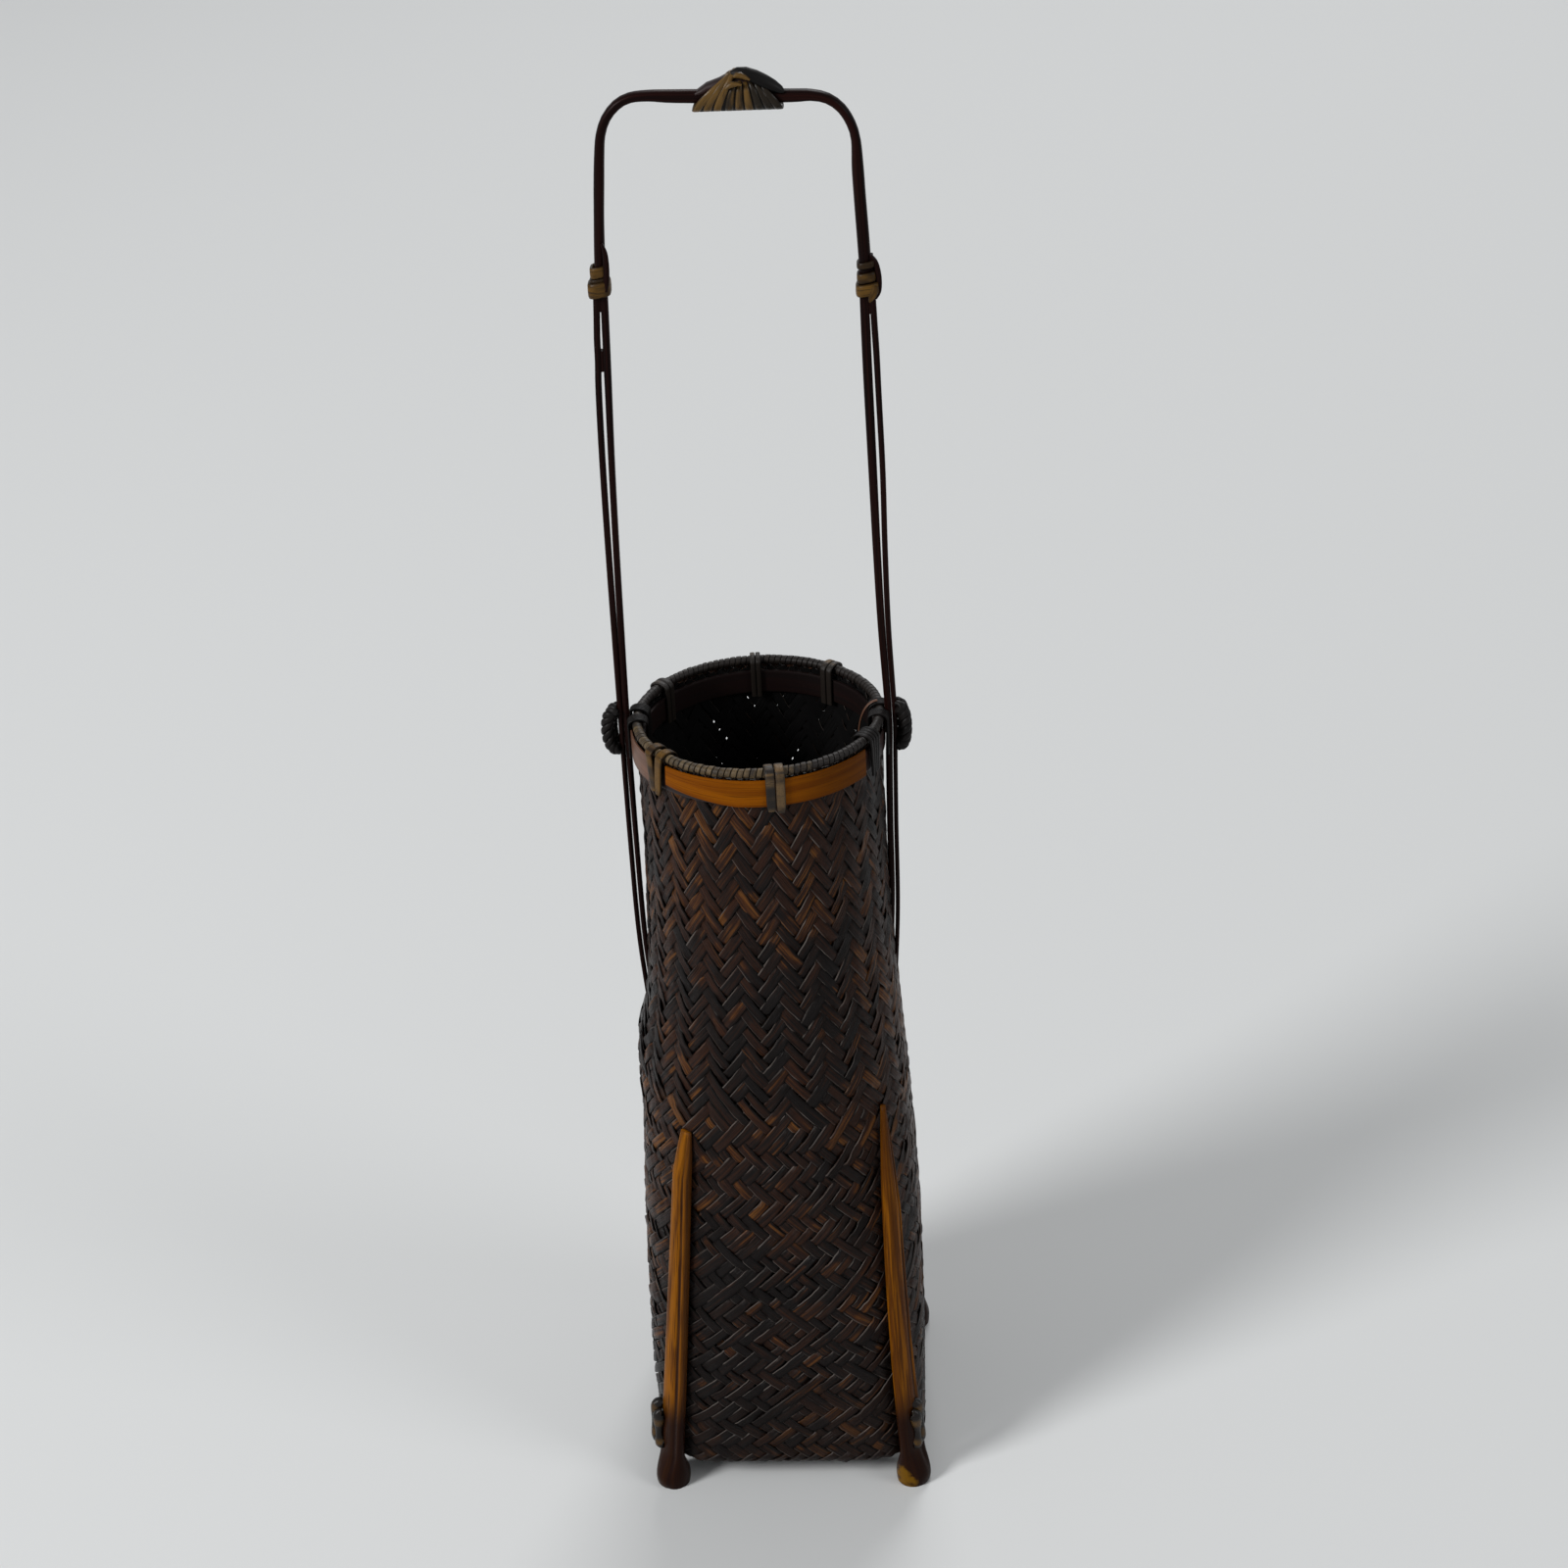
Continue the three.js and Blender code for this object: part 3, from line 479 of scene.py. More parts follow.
def smoked_strip():
    """Smoked bamboo: dark and redder above, with painted shade on one edge and the inner face, and pale
    edges partly worn, partly painted highlight.
    """
    material, tree = new_finish("smoked_strip", 0.4, shine=0.075)
    along, across, strip, tone, outside = readings(tree, "along", "across", "strip", "float", "outside")
    x, y, z = place_on_piece(tree)
    zones = grain(x * 12.0, y * 12.0, z * 12.0, 2.0)
    streaks = grain(along * 55.0, across * 2.4, strip * 61.0)
    fibres = grain(along * 90.0, across * 7.0, strip * 40.0, 4.0)
    # Red-brown, rust and amber fade out towards the bottom.
    redder_above = 0.3 + 0.7 * z.between(*REDDER_ABOVE_HEIGHTS).eased()
    warmth = (zones + streaks * 0.9 + strip * 0.25 + tone * 0.2).between(0.95, 1.4).eased()
    colour = mixed(warmth * redder_above, SOOT, RED_BROWN)
    rust = (tone * 0.7 + zones * 0.5 + streaks * 0.6).between(1.08, 1.3).eased()
    colour = mixed(rust * redder_above * 0.8, colour, RUST)
    amber = (streaks + tone * 0.35 + zones * 0.7).between(1.15, 1.38).eased()
    colour = mixed(amber * redder_above, colour, AMBER)
    colour = mixed(fibres.between(0.5, 0.68).eased() * 0.75, colour, FIBRE_LINES)
    # Painted shade along one edge of each strip, where it meets its neighbour.
    colour = mixed(across.between(0.45, 0.85).eased() * 0.85, colour, PAINTED_CREVICE_SHADE)
    # Pale edges on the other side: partly real wear, partly a painted highlight.
    worn = across.between(-0.72, -0.88).eased() * fibres.between(0.42, 0.62).eased()
    colour = mixed(worn * 0.6, colour, WORN_EDGES_AND_GLINTS)
    # Painted shade: the strips' inner faces are near black, as the basket's inside lies in shade.
    inside_shade = outside.between(0.3, -0.6).eased()
    colour = mixed(inside_shade, colour, PAINTED_INSIDE_SHADE)
    roughness = 0.2 + fibres * 0.25 + inside_shade * 0.5
    complete(colour, roughness, fibres + streaks * 0.6, 0.7, 0.7 * MM)
    return material


smoked_bamboo = smoked_strip()
plaited_wall = weave_tree(smoked_bamboo)
for family, lean in (("right", 1.0), ("left", -1.0)):
    strips = grow(f"strips_leaning_{family}", plaited_wall, {**WEAVE_SIZES, "Lean": lean})
    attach(strips, "basket")
    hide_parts("woven_body")


# The woven floor: strips of the same smoked bamboo, laid corner to corner in two directions and
# crossed three over, three under. Their ends lie on the strips of the wall that turn in below.
FLOOR_SIZES = {
    "Strips": 29,
    "Points": 61,
    "Lean": 1.0,
    "Strip width": 3.9 * MM,
    "Strip thickness": 0.7 * MM,
    "Lift": 0.4 * MM,
    "Height": 11.6 * MM,
    "Pitch": 4.3 * MM,
    "Reach to sides": 70 * MM,
    "Reach to corners": 61 * MM,
}


def floor_tree(material):
    """The rule of the floor: level strips, shorter towards the corners that they leave out."""
    tree, size = new_tree("woven_floor", FLOOR_SIZES)
    curves, strip, step = strip_curves(tree, size["Strips"], size["Points"])
    middle = (size["Strips"] - 1.0) * 0.5
    aside = (strip - middle) * size["Pitch"]
    half_length = (size["Reach to sides"] - aside.size()).at_most(size["Reach to corners"])
    along = half_length * (2.0 * step / (size["Points"] - 1.0) - 1.0)
    crossing = (along / size["Pitch"]).nearest()
    column = ((1.0 - size["Lean"]) * middle + size["Lean"] * (crossing + strip)) % ZIGZAG_REPEAT
    lift = size["Lift"] * (column.over(OVER_THREE) * 2.0 - 1.0)
    x = (along - aside) * CORNER_SHARE
    y = (along + aside) * CORNER_SHARE * size["Lean"]
    place = vector(tree, x, y, size["Height"] + size["Lean"] * lift)
    normal = vector(tree, 0.0, 0.0, 1.0)
    marks = {
        "along": along,
        "strip": chance(strip, size["Lean"], 5.0),
        "float": chance(strip, (crossing / TONE_ROWS).floor(), size["Lean"] * 9.0),
    }
    section = (size["Strip width"], size["Strip thickness"], SQUARENESS, CROWN)
    finish_strips(tree, curves, place, normal, marks, section, material)
    return tree


woven_floor = floor_tree(smoked_bamboo)
for family, lean in (("right", 1.0), ("left", -1.0)):
    strips = grow(f"floor_strips_{family}", woven_floor, {**FLOOR_SIZES, "Lean": lean})
    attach(strips, "basket")
    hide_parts("woven_body")


# The water tube: a length of bamboo culm that stands loose in the basket and lifts out by its lip.
# Its floor is the culm's own wall at a joint, and a second joint shows as a ring half way up.
TUBE_RADIUS = 31 * MM
TUBE_WALL = 5 * MM
TUBE_BASE = 12.5 * MM
TUBE_HEIGHT = 200 * MM
TUBE_FLOOR = 8 * MM
TUBE_RING_HEIGHT = 118 * MM
TUBE_RING_RISE = 1.2 * MM
TUBE_LIP = 0.8 * MM
TUBE_SIDES = 96
TUBE_CREASE = math.radians(50)
TUBE_CENTRE = 0.5 * MM
TUBE_INNER_ROUNDING = 4 * MM
RING_STEPS = 6
RING_STEP = 1.1 * MM
RING_SPREAD = 2.4
RING_GROOVE = 0.35
RING_GROOVE_STEP = 3
CULM_LIGHT = (0.30, 0.19, 0.075)
CULM_DARK = (0.19, 0.105, 0.035)
CULM_STREAKS = (0.10, 0.05, 0.018)
CULM_RING = (0.065, 0.035, 0.015)
CULM_INSIDE = (0.34, 0.25, 0.13)


def ring_faces(first, rings, sides, closed=False):
    """Faces of a skin over rings of points, capped at both ends unless it closes on itself."""
    faces = []
    for ring in range(rings if closed else rings - 1):
        here = first + ring * sides
        ahead = first + (ring + 1) % rings * sides
        for corner in range(sides):
            beside = (corner + 1) % sides
            faces.append((here + corner, here + beside, ahead + beside, ahead + corner))
    if not closed:
        last = first + (rings - 1) * sides
        faces.append(tuple(reversed(range(first, first + sides))))
        faces.append(tuple(range(last, last + sides)))
    return faces


def new_piece(name, points, faces, material, crease=None, marks=None):
    """A smooth piece with marks on its points, and edges that turn more than the crease left sharp."""
    mesh = bpy.data.meshes.new(name)
    mesh.from_pydata(points, [], faces)
    for mark_name, values in (marks or {}).items():
        mesh.attributes.new(mark_name, "FLOAT", "POINT").data.foreach_set("value", values)
    mesh.materials.append(material)
    mesh.shade_smooth()
    if crease is not None:
        mesh.set_sharp_from_angle(angle=crease)
    piece = bpy.data.objects.new(name, mesh)
    bpy.context.collection.objects.link(piece)
    return piece


def culm_finish():
    """Plain dried culm: blotched and streaked outside, dark at its ring, paler inside."""
    material, tree = new_finish("culm", 0.42, coat=0.15)
    x, y, z = place_on_piece(tree)
    streaks = grain(x * 900.0, y * 900.0, z * 12.0, 4.0)
    blotches = grain(x * 30.0, y * 30.0, z * 18.0)
    colour = mixed(blotches.between(0.35, 0.7).eased(), CULM_LIGHT, CULM_DARK)
    colour = mixed(streaks.between(0.55, 0.75).eased() * 0.55, colour, CULM_STREAKS)
    ring = (z - (TUBE_BASE + TUBE_RING_HEIGHT)).size().between(3.2 * MM, 0.6 * MM).eased()
    colour = mixed(ring * 0.75, colour, CULM_RING)
    inside = (x * x + y * y).between((29.5 * MM) ** 2, (28.5 * MM) ** 2).eased()
    colour = mixed(inside * 0.7, colour, CULM_INSIDE)
    complete(colour, 0.34 + streaks * 0.25, streaks, 0.2, 0.4 * MM)
    return material


tube_inner = TUBE_RADIUS - TUBE_WALL
tube_profile = [(TUBE_CENTRE, 0.0), (TUBE_RADIUS - TUBE_LIP, 0.0), (TUBE_RADIUS, TUBE_LIP)]
for step in range(-RING_STEPS, RING_STEPS + 1):
    ridge = math.exp(-((step / RING_SPREAD) ** 2))
    groove = RING_GROOVE * math.exp(-((step - RING_GROOVE_STEP) ** 2))
    radius = TUBE_RADIUS + TUBE_RING_RISE * (ridge - groove)
    tube_profile.append((radius, TUBE_RING_HEIGHT + step * RING_STEP))
tube_profile += [
    (TUBE_RADIUS, TUBE_HEIGHT - TUBE_LIP),
    (TUBE_RADIUS - TUBE_LIP, TUBE_HEIGHT),
    (tube_inner + TUBE_LIP, TUBE_HEIGHT),
    (tube_inner, TUBE_HEIGHT - TUBE_LIP),
    (tube_inner, TUBE_FLOOR + TUBE_INNER_ROUNDING),
    (tube_inner - TUBE_INNER_ROUNDING, TUBE_FLOOR),
    (TUBE_CENTRE, TUBE_FLOOR),
]
tube_points = []
for radius, height in tube_profile:
    for side in range(TUBE_SIDES):
        angle = 2 * math.pi * side / TUBE_SIDES
        tube_points.append((radius * math.cos(angle), radius * math.sin(angle), TUBE_BASE + height))
tube_faces = ring_faces(0, len(tube_profile), TUBE_SIDES)
water_tube = new_piece("culm_tube", tube_points, tube_faces, culm_finish(), TUBE_CREASE)
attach(water_tube, "water_tube")
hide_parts("water_tube")


# The rim's bands: a dark hoop inside the mouth and one outside, both of split bamboo. The outer
# hoop is faced with golden skin in front and tan skin at the left and back, with gaps between.
HOOP_MIDDLE = 336.6 * MM
HOOP_HEIGHT = 9.6 * MM
HOOP_RADIUS = 48.9 * MM
HOOP_THICKNESS = 0.7 * MM
INNER_HOOP_RADIUS = 44.9 * MM
INNER_HOOP_THICKNESS = 1.5 * MM
SKIN_TOP = 343.2 * MM
SKIN_HEIGHT = 11.4 * MM
SKIN_NARROWING = 3.2 * MM
SKIN_RADIUS = 49.7 * MM
SKIN_THICKNESS = 0.8 * MM
SKIN_SIDES = 16
SKIN_FLATNESS = 0.22
SKIN_TONE = 0.3
SKIN_TAPER_POINTS = 14
HOOP_LAP = 0.4 * MM
INNER_TONE = 0.2
GOLDEN_STRETCH = (-43, 57)
TAN_STRETCHES = ((98, 262), (278, 307))
FULL_HOOP = (0, 360)
DEGREES_PER_POINT = 2.5
STRAND_CREASE = math.radians(60)


def squared_turn(angle, power):
    """Cosine and sine of an angle, drawn out towards a square's corners by a power below one."""
    return (math.copysign(abs(value) ** power, value) for value in (math.cos(angle), math.sin(angle)))


class Strands:
    """The strands of one piece, each with a middle line, a facing side, a width and a thickness."""

    def __init__(self):
        self.points = []
        self.faces = []
        self.marks = {"along": [], "across": [], "tone": []}

    def lay(self, line, facing, width, thickness, tone=0.5, sides=12, flatness=0.4, closed=False):
        """Sweeps a strand. Its facing, width, thickness and tone may change from point to point."""
        facings, widths, thicknesses, tones = (
            value if isinstance(value, list) else [value] * len(line)
            for value in (facing, width, thickness, tone)
        )
        first = len(self.points)
        travelled = 0.0
        for i, middle in enumerate(line):
            before = line[i - 1] if i or closed else line[i]
            after = line[(i + 1) % len(line)] if i + 1 < len(line) or closed else line[i]
            ahead = (after - before).normalized()
            across = facings[i].cross(ahead).normalized()
            outward = ahead.cross(across)
            travelled += (middle - before).length if i else 0.0
            for corner in range(sides):
                sideways, upward = squared_turn(2 * math.pi * corner / sides, flatness)
                offset = across * (sideways * widths[i] / 2) + outward * (upward * thicknesses[i] / 2)
                self.points.append(middle + offset)
                self.marks["along"].append(travelled)
                self.marks["across"].append(sideways)
                self.marks["tone"].append(tones[i])
        self.faces += ring_faces(first, len(line), sides, closed)

    def piece(self, name, material):
        return new_piece(name, self.points, self.faces, material, STRAND_CREASE, self.marks)


def bearing_direction(bearing):
    """Level direction at an angle from the front, towards the right side."""
    return Vector((math.sin(bearing), -math.cos(bearing), 0))


def hoop_line(radius, height, start, end):
    """Points and outward directions of part of a hoop, between two bearings in degrees."""
    count = round((end - start) / DEGREES_PER_POINT)
    bearings = [math.radians(start + (end - start) * i / count) for i in range(count + 1)]
    directions = [bearing_direction(bearing) for bearing in bearings]
    if (start, end) == FULL_HOOP:
        directions.pop()
    return [direction * radius + Vector((0, 0, height)) for direction in directions], directions


def split_bamboo(name, light, dark, streak_and_shade, roughness, shine=0.5, painted_shade_to_right=0.0):
    """Split bamboo with its fibres along the strip: bands, fine streaks, and painted shade towards the
    right.
    """
    material, tree = new_finish(name, roughness, shine)
    along, across, tone = readings(tree, "along", "across", "tone")
    x = place_on_piece(tree)[0]
    bands = grain(along * 12.0, across * 2.2, tone * 37.0, 2.0)
    fibres = grain(along * 40.0, across * 16.0, tone * 37.0, 4.0)
    colour = mixed(bands.between(0.35, 0.65).eased(), light, dark)
    # Painted shade: the skin darkens towards its right end, as if the light fell off there.
    colour = mixed(x.between(0.0, 42 * MM).eased() * painted_shade_to_right, colour, streak_and_shade)
    colour = mixed(fibres.between(0.54, 0.7).eased() * 0.8, colour, streak_and_shade)
    complete(colour, roughness - 0.08 + fibres * 0.2, fibres, 0.18, 0.2 * MM)
    return material


golden_skin = split_bamboo(
    "golden_skin", (0.21, 0.06, 0.001), (0.14, 0.036, 0.001), (0.04, 0.012, 0.001), 0.32, shine=0.03,
    painted_shade_to_right=0.6,
)
tan_skin = split_bamboo(
    "tan_skin", (0.12, 0.056, 0.033), (0.08, 0.036, 0.021), (0.032, 0.014, 0.009), 0.42, shine=0.2
)
dark_hoop = split_bamboo(
    "dark_hoop", (0.016, 0.005, 0.004), (0.009, 0.0038, 0.0034), (0.005, 0.003, 0.0027), 0.45, shine=0.2
)

outer_hoop = Strands()
outer_hoop.lay(
    *hoop_line(HOOP_RADIUS, HOOP_MIDDLE, *FULL_HOOP), HOOP_HEIGHT - HOOP_LAP, HOOP_THICKNESS, closed=True
)
skin_section = (SKIN_THICKNESS, SKIN_TONE, SKIN_SIDES, SKIN_FLATNESS)
golden_band = Strands()
line, facing = hoop_line(SKIN_RADIUS, SKIN_TOP, *GOLDEN_STRETCH)
narrowings = [SKIN_NARROWING * max(0.0, 1 - i / SKIN_TAPER_POINTS) for i in range(len(line))]
heights = [SKIN_HEIGHT - narrowing for narrowing in narrowings]
line = [point - Vector((0, 0, height / 2)) for point, height in zip(line, heights)]
golden_band.lay(line, facing, heights, *skin_section)
tan_band = Strands()
for stretch in TAN_STRETCHES:
    line, facing = hoop_line(SKIN_RADIUS, SKIN_TOP - SKIN_HEIGHT / 2, *stretch)
    tan_band.lay(line, facing, SKIN_HEIGHT, *skin_section)
outer_bands = (
    (outer_hoop, "outer_hoop", dark_hoop),
    (golden_band, "golden_band", golden_skin),
    (tan_band, "tan_band", tan_skin),
)
for strands, name, finish in outer_bands:
    band = strands.piece(name, finish)
    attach(band, "basket")
    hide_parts("rim_outer_band")
inner_hoop = Strands()
inner_hoop.lay(
    *hoop_line(INNER_HOOP_RADIUS, HOOP_MIDDLE, *FULL_HOOP), HOOP_HEIGHT, INNER_HOOP_THICKNESS,
    INNER_TONE, SKIN_SIDES, SKIN_FLATNESS, closed=True,
)
inner_skin = split_bamboo(
    "inner_skin", (0.0075, 0.0032, 0.0028), (0.005, 0.0027, 0.0025), (0.003, 0.002, 0.002), 0.5,
    shine=0.12,
)
inner_band = inner_hoop.piece("inner_hoop", inner_skin)
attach(inner_band, "basket")
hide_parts("rim_inner_band")


# The bound ring on the mouth: a thin core overcast with one long strand of split rattan, whose
# turns lie side by side all the way round like a row of beads. It is palest in front.
COIL_TURNS = 126
POINTS_PER_TURN = 14
COIL_SIZES = {
    "Turns": COIL_TURNS,
    "Points": COIL_TURNS * POINTS_PER_TURN + 1,
    "Ring radius": 47.3 * MM,
    "Ring height": 345.0 * MM,
    "Turn radius": 1.5 * MM,
    "Strand width": 2.2 * MM,
    "Strand thickness": 0.9 * MM,
    "Unevenness": 0.16,
}
COIL_SQUARENESS = 0.6
CORE_THICKNESS = 2.6 * MM


def coil_tree(material):
    """The rule of the overcast strand: turns round the ring's core, each a little uneven."""
    tree, size = new_tree("overcast_ring", COIL_SIZES)
    curves, _, step = strip_curves(tree, 1, size["Points"])
    share = step / (size["Points"] - 1.0)
    bearing = share * (2 * math.pi)
    winding = bearing * size["Turns"]
    turn = (share * size["Turns"]).floor()
    uneven = 1.0 + size["Unevenness"] * (chance(turn, 1.0, 2.0) - 0.5)
    out = winding.cos() * uneven
    up = winding.sin() * uneven
    radius = size["Ring radius"] + out * size["Turn radius"]
    height = size["Ring height"] + up * size["Turn radius"]
    place = vector(tree, bearing.sin() * radius, bearing.cos() * radius * -1.0, height)
    normal = vector(tree, bearing.sin() * out, bearing.cos() * out * -1.0, up)
    away_from_front = (bearing + 0.5).cos().between(0.98, 0.2).eased()
    tone = chance(turn, 4.0, 0.0) * 0.5 + away_from_front * 0.9
    marks = {"along": winding * 0.002, "tone": tone}
    section = (size["Strand width"], size["Strand thickness"], COIL_SQUARENESS, COIL_SQUARENESS)
    finish_strips(tree, curves, place, normal, marks, section, material)
    return tree


def rattan_finish(name, light, dark, fibre_and_edge_shade, roughness, shine):
    """Split rattan: short fibres along the strand, a colour for each strand's tone, and painted shade at
    its edges.
    """
    material, tree = new_finish(name, roughness, shine)
    along, across, tone = readings(tree, "along", "across", "tone")
    fibres = grain(along * 150.0, across * 5.0, tone * 53.0, 4.0)
    patches = grain(along * 160.0, across * 0.9, tone * 91.0, 2.0)
    colour = mixed((tone * 0.6 + patches * 0.7).between(0.35, 0.85).eased(), light, dark)
    colour = mixed(fibres.between(0.52, 0.7).eased() * 0.7, colour, fibre_and_edge_shade)
    # Painted shade along each strand's edges, where strands meet.
    colour = mixed(across.size().between(0.7, 1.0).eased() * 0.7, colour, fibre_and_edge_shade)
    complete(colour, roughness - 0.1 + fibres * 0.25, fibres, 0.3, 0.3 * MM)
    return material


coil_rattan = rattan_finish(
    "coil_rattan", (0.1, 0.068, 0.033), (0.012, 0.009, 0.0075), (0.005, 0.004, 0.0035), 0.48, shine=0.2
)
coil = grow("overcast_strand", coil_tree(coil_rattan), COIL_SIZES)
core = Strands()
core.lay(
    *hoop_line(COIL_SIZES["Ring radius"], COIL_SIZES["Ring height"], *FULL_HOOP),
    CORE_THICKNESS, CORE_THICKNESS, tone=0.1, sides=10, flatness=1.0, closed=True,
)
coil_core = core.piece("ring_core", dark_hoop)
for piece in (coil, coil_core):
    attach(piece, "basket")
    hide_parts("rim_coil")


# The rim's lashings: pairs of flat rattan strands that go over the bound ring and down both bands,
# and end just below the outer one. The pair at the front left draws together, and the lashing at
# the front right is of thinner, darker strands. Those at the back are nearly black.
LASHINGS = {
    "front": {"bearing": 9.5, "strand": 3.6 * MM, "tone": 0.45, "mottle": 0.5},
    "front_right": {"bearing": 64, "strand": 1.6 * MM},
    "back_right": {"bearing": 144, "strand": 2.6 * MM, "tone": 0.5, "mottle": 0.3},
    "back": {"bearing": 184, "strand": 1.9 * MM, "tone": 0.9, "mottle": 0.3},
    "back_left": {"bearing": 237, "strand": 2.4 * MM, "tone": 1.0, "mottle": 0.3},
    "front_left": {"bearing": 310.5, "strand": 4.0 * MM, "tone": 0.3, "mottle": 0.5},
}
LASHING_THICKNESS = 1.0 * MM
LASHING_GAP = 0.3 * MM
LASHING_OUTSIDE = 50.7 * MM
LASHING_INSIDE = 43.3 * MM
LASHING_TAIL = 330.2 * MM
LASHING_FOOT = 330.5 * MM
ARCH_RISE = 2.3 * MM
ARCH_STEPS = 14
DOWN_STEPS = 8
EVEN_SPREADS = (0.5, 0.47)
DRAWN_SPREADS = (0.75, 0.3)
TAIL_DIFFERENCE = 1.0 * MM
DARK_STRANDS = 4
DARK_SPREAD = 0.7
DARK_STEP = 0.4 * MM
RING_HEIGHT = COIL_SIZES["Ring height"]


def over_the_rim(bearing, aside_above, aside_below, tail):
    """A strand's line and facing, from the inner band's foot over the ring and down the outer band."""
    out = bearing_direction(bearing)
    along_rim = Vector((math.cos(bearing), math.sin(bearing), 0))
    up = Vector((0, 0, 1))
    middle = (LASHING_OUTSIDE + LASHING_INSIDE) / 2
    reach = (LASHING_OUTSIDE - LASHING_INSIDE) / 2
    line = []
    facing = []
    for height in (LASHING_FOOT, (LASHING_FOOT + RING_HEIGHT) / 2):
        line.append(out * LASHING_INSIDE + up * height + along_rim * aside_above)
        facing.append(-out)
    for step in range(ARCH_STEPS + 1):
        angle = math.pi * (1 - step / ARCH_STEPS)
        arch = out * (reach * math.cos(angle)) + up * (ARCH_RISE * math.sin(angle))
        line.append(out * middle + up * RING_HEIGHT + arch + along_rim * aside_above)
        facing.append((out * math.cos(angle) + up * math.sin(angle)).normalized())
    for step in range(1, DOWN_STEPS + 1):
        share = step / DOWN_STEPS
        aside = aside_above + (aside_below - aside_above) * share ** 0.7
        height = RING_HEIGHT + (tail - RING_HEIGHT) * share
        line.append(out * LASHING_OUTSIDE + up * height + along_rim * aside)
        facing.append(out)
    return line, facing


def lashing_tones(lashing, side, count):
    """Tones along one strand of a pair: darkest inside the mouth as painted shade, and mottled."""
    tones = []
    for i in range(count):
        # Painted shade: the strand darkens where it lies inside the mouth.
        inside = max(0.0, 1.3 * (1 - i / (0.6 * ARCH_STEPS)))
        fleck = lashing["mottle"] * math.sin(1.3 * i + 2 * side) * math.sin(0.6 * i)
        tones.append(lashing["tone"] - 0.2 * side + inside + fleck)
    return tones


lashing_rattan = rattan_finish(
    "lashing_rattan", (0.115, 0.07, 0.03), (0.012, 0.009, 0.007), (0.006, 0.0045, 0.0035), 0.42,
    shine=0.2,
)
golden_rattan = rattan_finish(
    "golden_rattan", (0.1, 0.05, 0.009), (0.02, 0.011, 0.0045), (0.005, 0.0035, 0.0025), 0.32, shine=0.1
)
dark_cord = rattan_finish(
    "dark_cord", (0.008, 0.0064, 0.006), (0.004, 0.0034, 0.0032), (0.002, 0.0018, 0.0017), 0.4, shine=0.1
)
for place, lashing in LASHINGS.items():
    bearing = math.radians(lashing["bearing"])
    strand = lashing["strand"]
    strands = Strands()
    if place == "front_right":
        finish = dark_cord
        for number in range(DARK_STRANDS):
            aside = (number - (DARK_STRANDS - 1) / 2) * (strand + LASHING_GAP)
            tail = LASHING_TAIL + number * DARK_STEP
            line, facing = over_the_rim(bearing, aside, aside * DARK_SPREAD, tail)
            strands.lay(line, facing, strand, LASHING_THICKNESS, 0.2 * number, sides=10, flatness=0.6)
    else:
        drawn_in = place == "front_left"
        finish = golden_rattan if drawn_in else lashing_rattan
        above, below = DRAWN_SPREADS if drawn_in else EVEN_SPREADS
        for side, longer in ((-1, 0.0), (1, TAIL_DIFFERENCE)):
            step = side * (strand + LASHING_GAP)
            line, facing = over_the_rim(bearing, step * above, step * below, LASHING_TAIL - longer)
            widths = [strand] * (len(line) - 2) + [strand * 0.94, strand * 0.7]
            tones = lashing_tones(lashing, side, len(line))
            strands.lay(line, facing, widths, LASHING_THICKNESS, tones, sides=10, flatness=0.5)
    piece = strands.piece(f"lashing_{place}", finish)
    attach(piece, "basket")
    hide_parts(f"rim_lashing_{place}")


# The handle's ties: thin dark strands on each side of a pair of handle strips. They go over the
# ring like the lashings and fan out below, where they hold the strips to the mouth. One pale end
# of a tie curls into the mouth behind the right pair.
TIE_STRAND = 1.15 * MM
TIE_COUNT = 5
TIE_SPACING = 1.0 * MM
TIE_SPREADS = (1.02, 1.4)
TIE_STEP = 1.4 * MM
TIE_OFFSET = 4.7 * MM
TIE_RADIUS = 50.1 * MM
TIE_AWAY = math.asin(TIE_OFFSET / TIE_RADIUS)
for side_name, side in (("left", -1), ("right", 1)):
    for end_name, end in (("front", -1), ("back", 1)):
        bearing = side * (math.pi / 2 + end * TIE_AWAY)
        strands = Strands()
        for number in range(TIE_COUNT):
            aside = (number - (TIE_COUNT - 1) / 2) * TIE_SPACING
            above, below = (aside * spread for spread in TIE_SPREADS)
            line, facing = over_the_rim(bearing, above, below, LASHING_TAIL + number % 3 * TIE_STEP)
            strands.lay(line, facing, TIE_STRAND, LASHING_THICKNESS, 0.2 * number, sides=8, flatness=0.7)
        tie = strands.piece(f"tie_{side_name}_{end_name}", dark_cord)
        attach(tie, "basket")
        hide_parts(f"handle_tie_{side_name}_{end_name}")
CURL_STEPS = 16
CURL_BEARING = 93
CURL_SWING = 5
CURL_RADIUS = 46.5 * MM
CURL_REACH = 7.6 * MM
CURL_TOP = 348.6 * MM
CURL_DROP = 17.6 * MM
CURL_WIDTH = 1.5 * MM
CURL_THICKNESS = 0.7 * MM
curl = Strands()
line = []
facing = []
for step in range(CURL_STEPS + 1):
    share = step / CURL_STEPS
    direction = bearing_direction(math.radians(CURL_BEARING + CURL_SWING * share ** 4))
    radius = CURL_RADIUS - CURL_REACH * math.sin(share * math.pi / 2)
    line.append(direction * radius + Vector((0, 0, CURL_TOP - CURL_DROP * share ** 2)))
    facing.append((Vector((0, 0, 1)) * (1 - share) - direction * share).normalized())
curl.lay(line, facing, CURL_WIDTH, CURL_THICKNESS, tone=0.0, sides=8, flatness=0.7)
tie_end = curl.piece("curled_tie_end", tan_skin)
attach(tie_end, "basket")
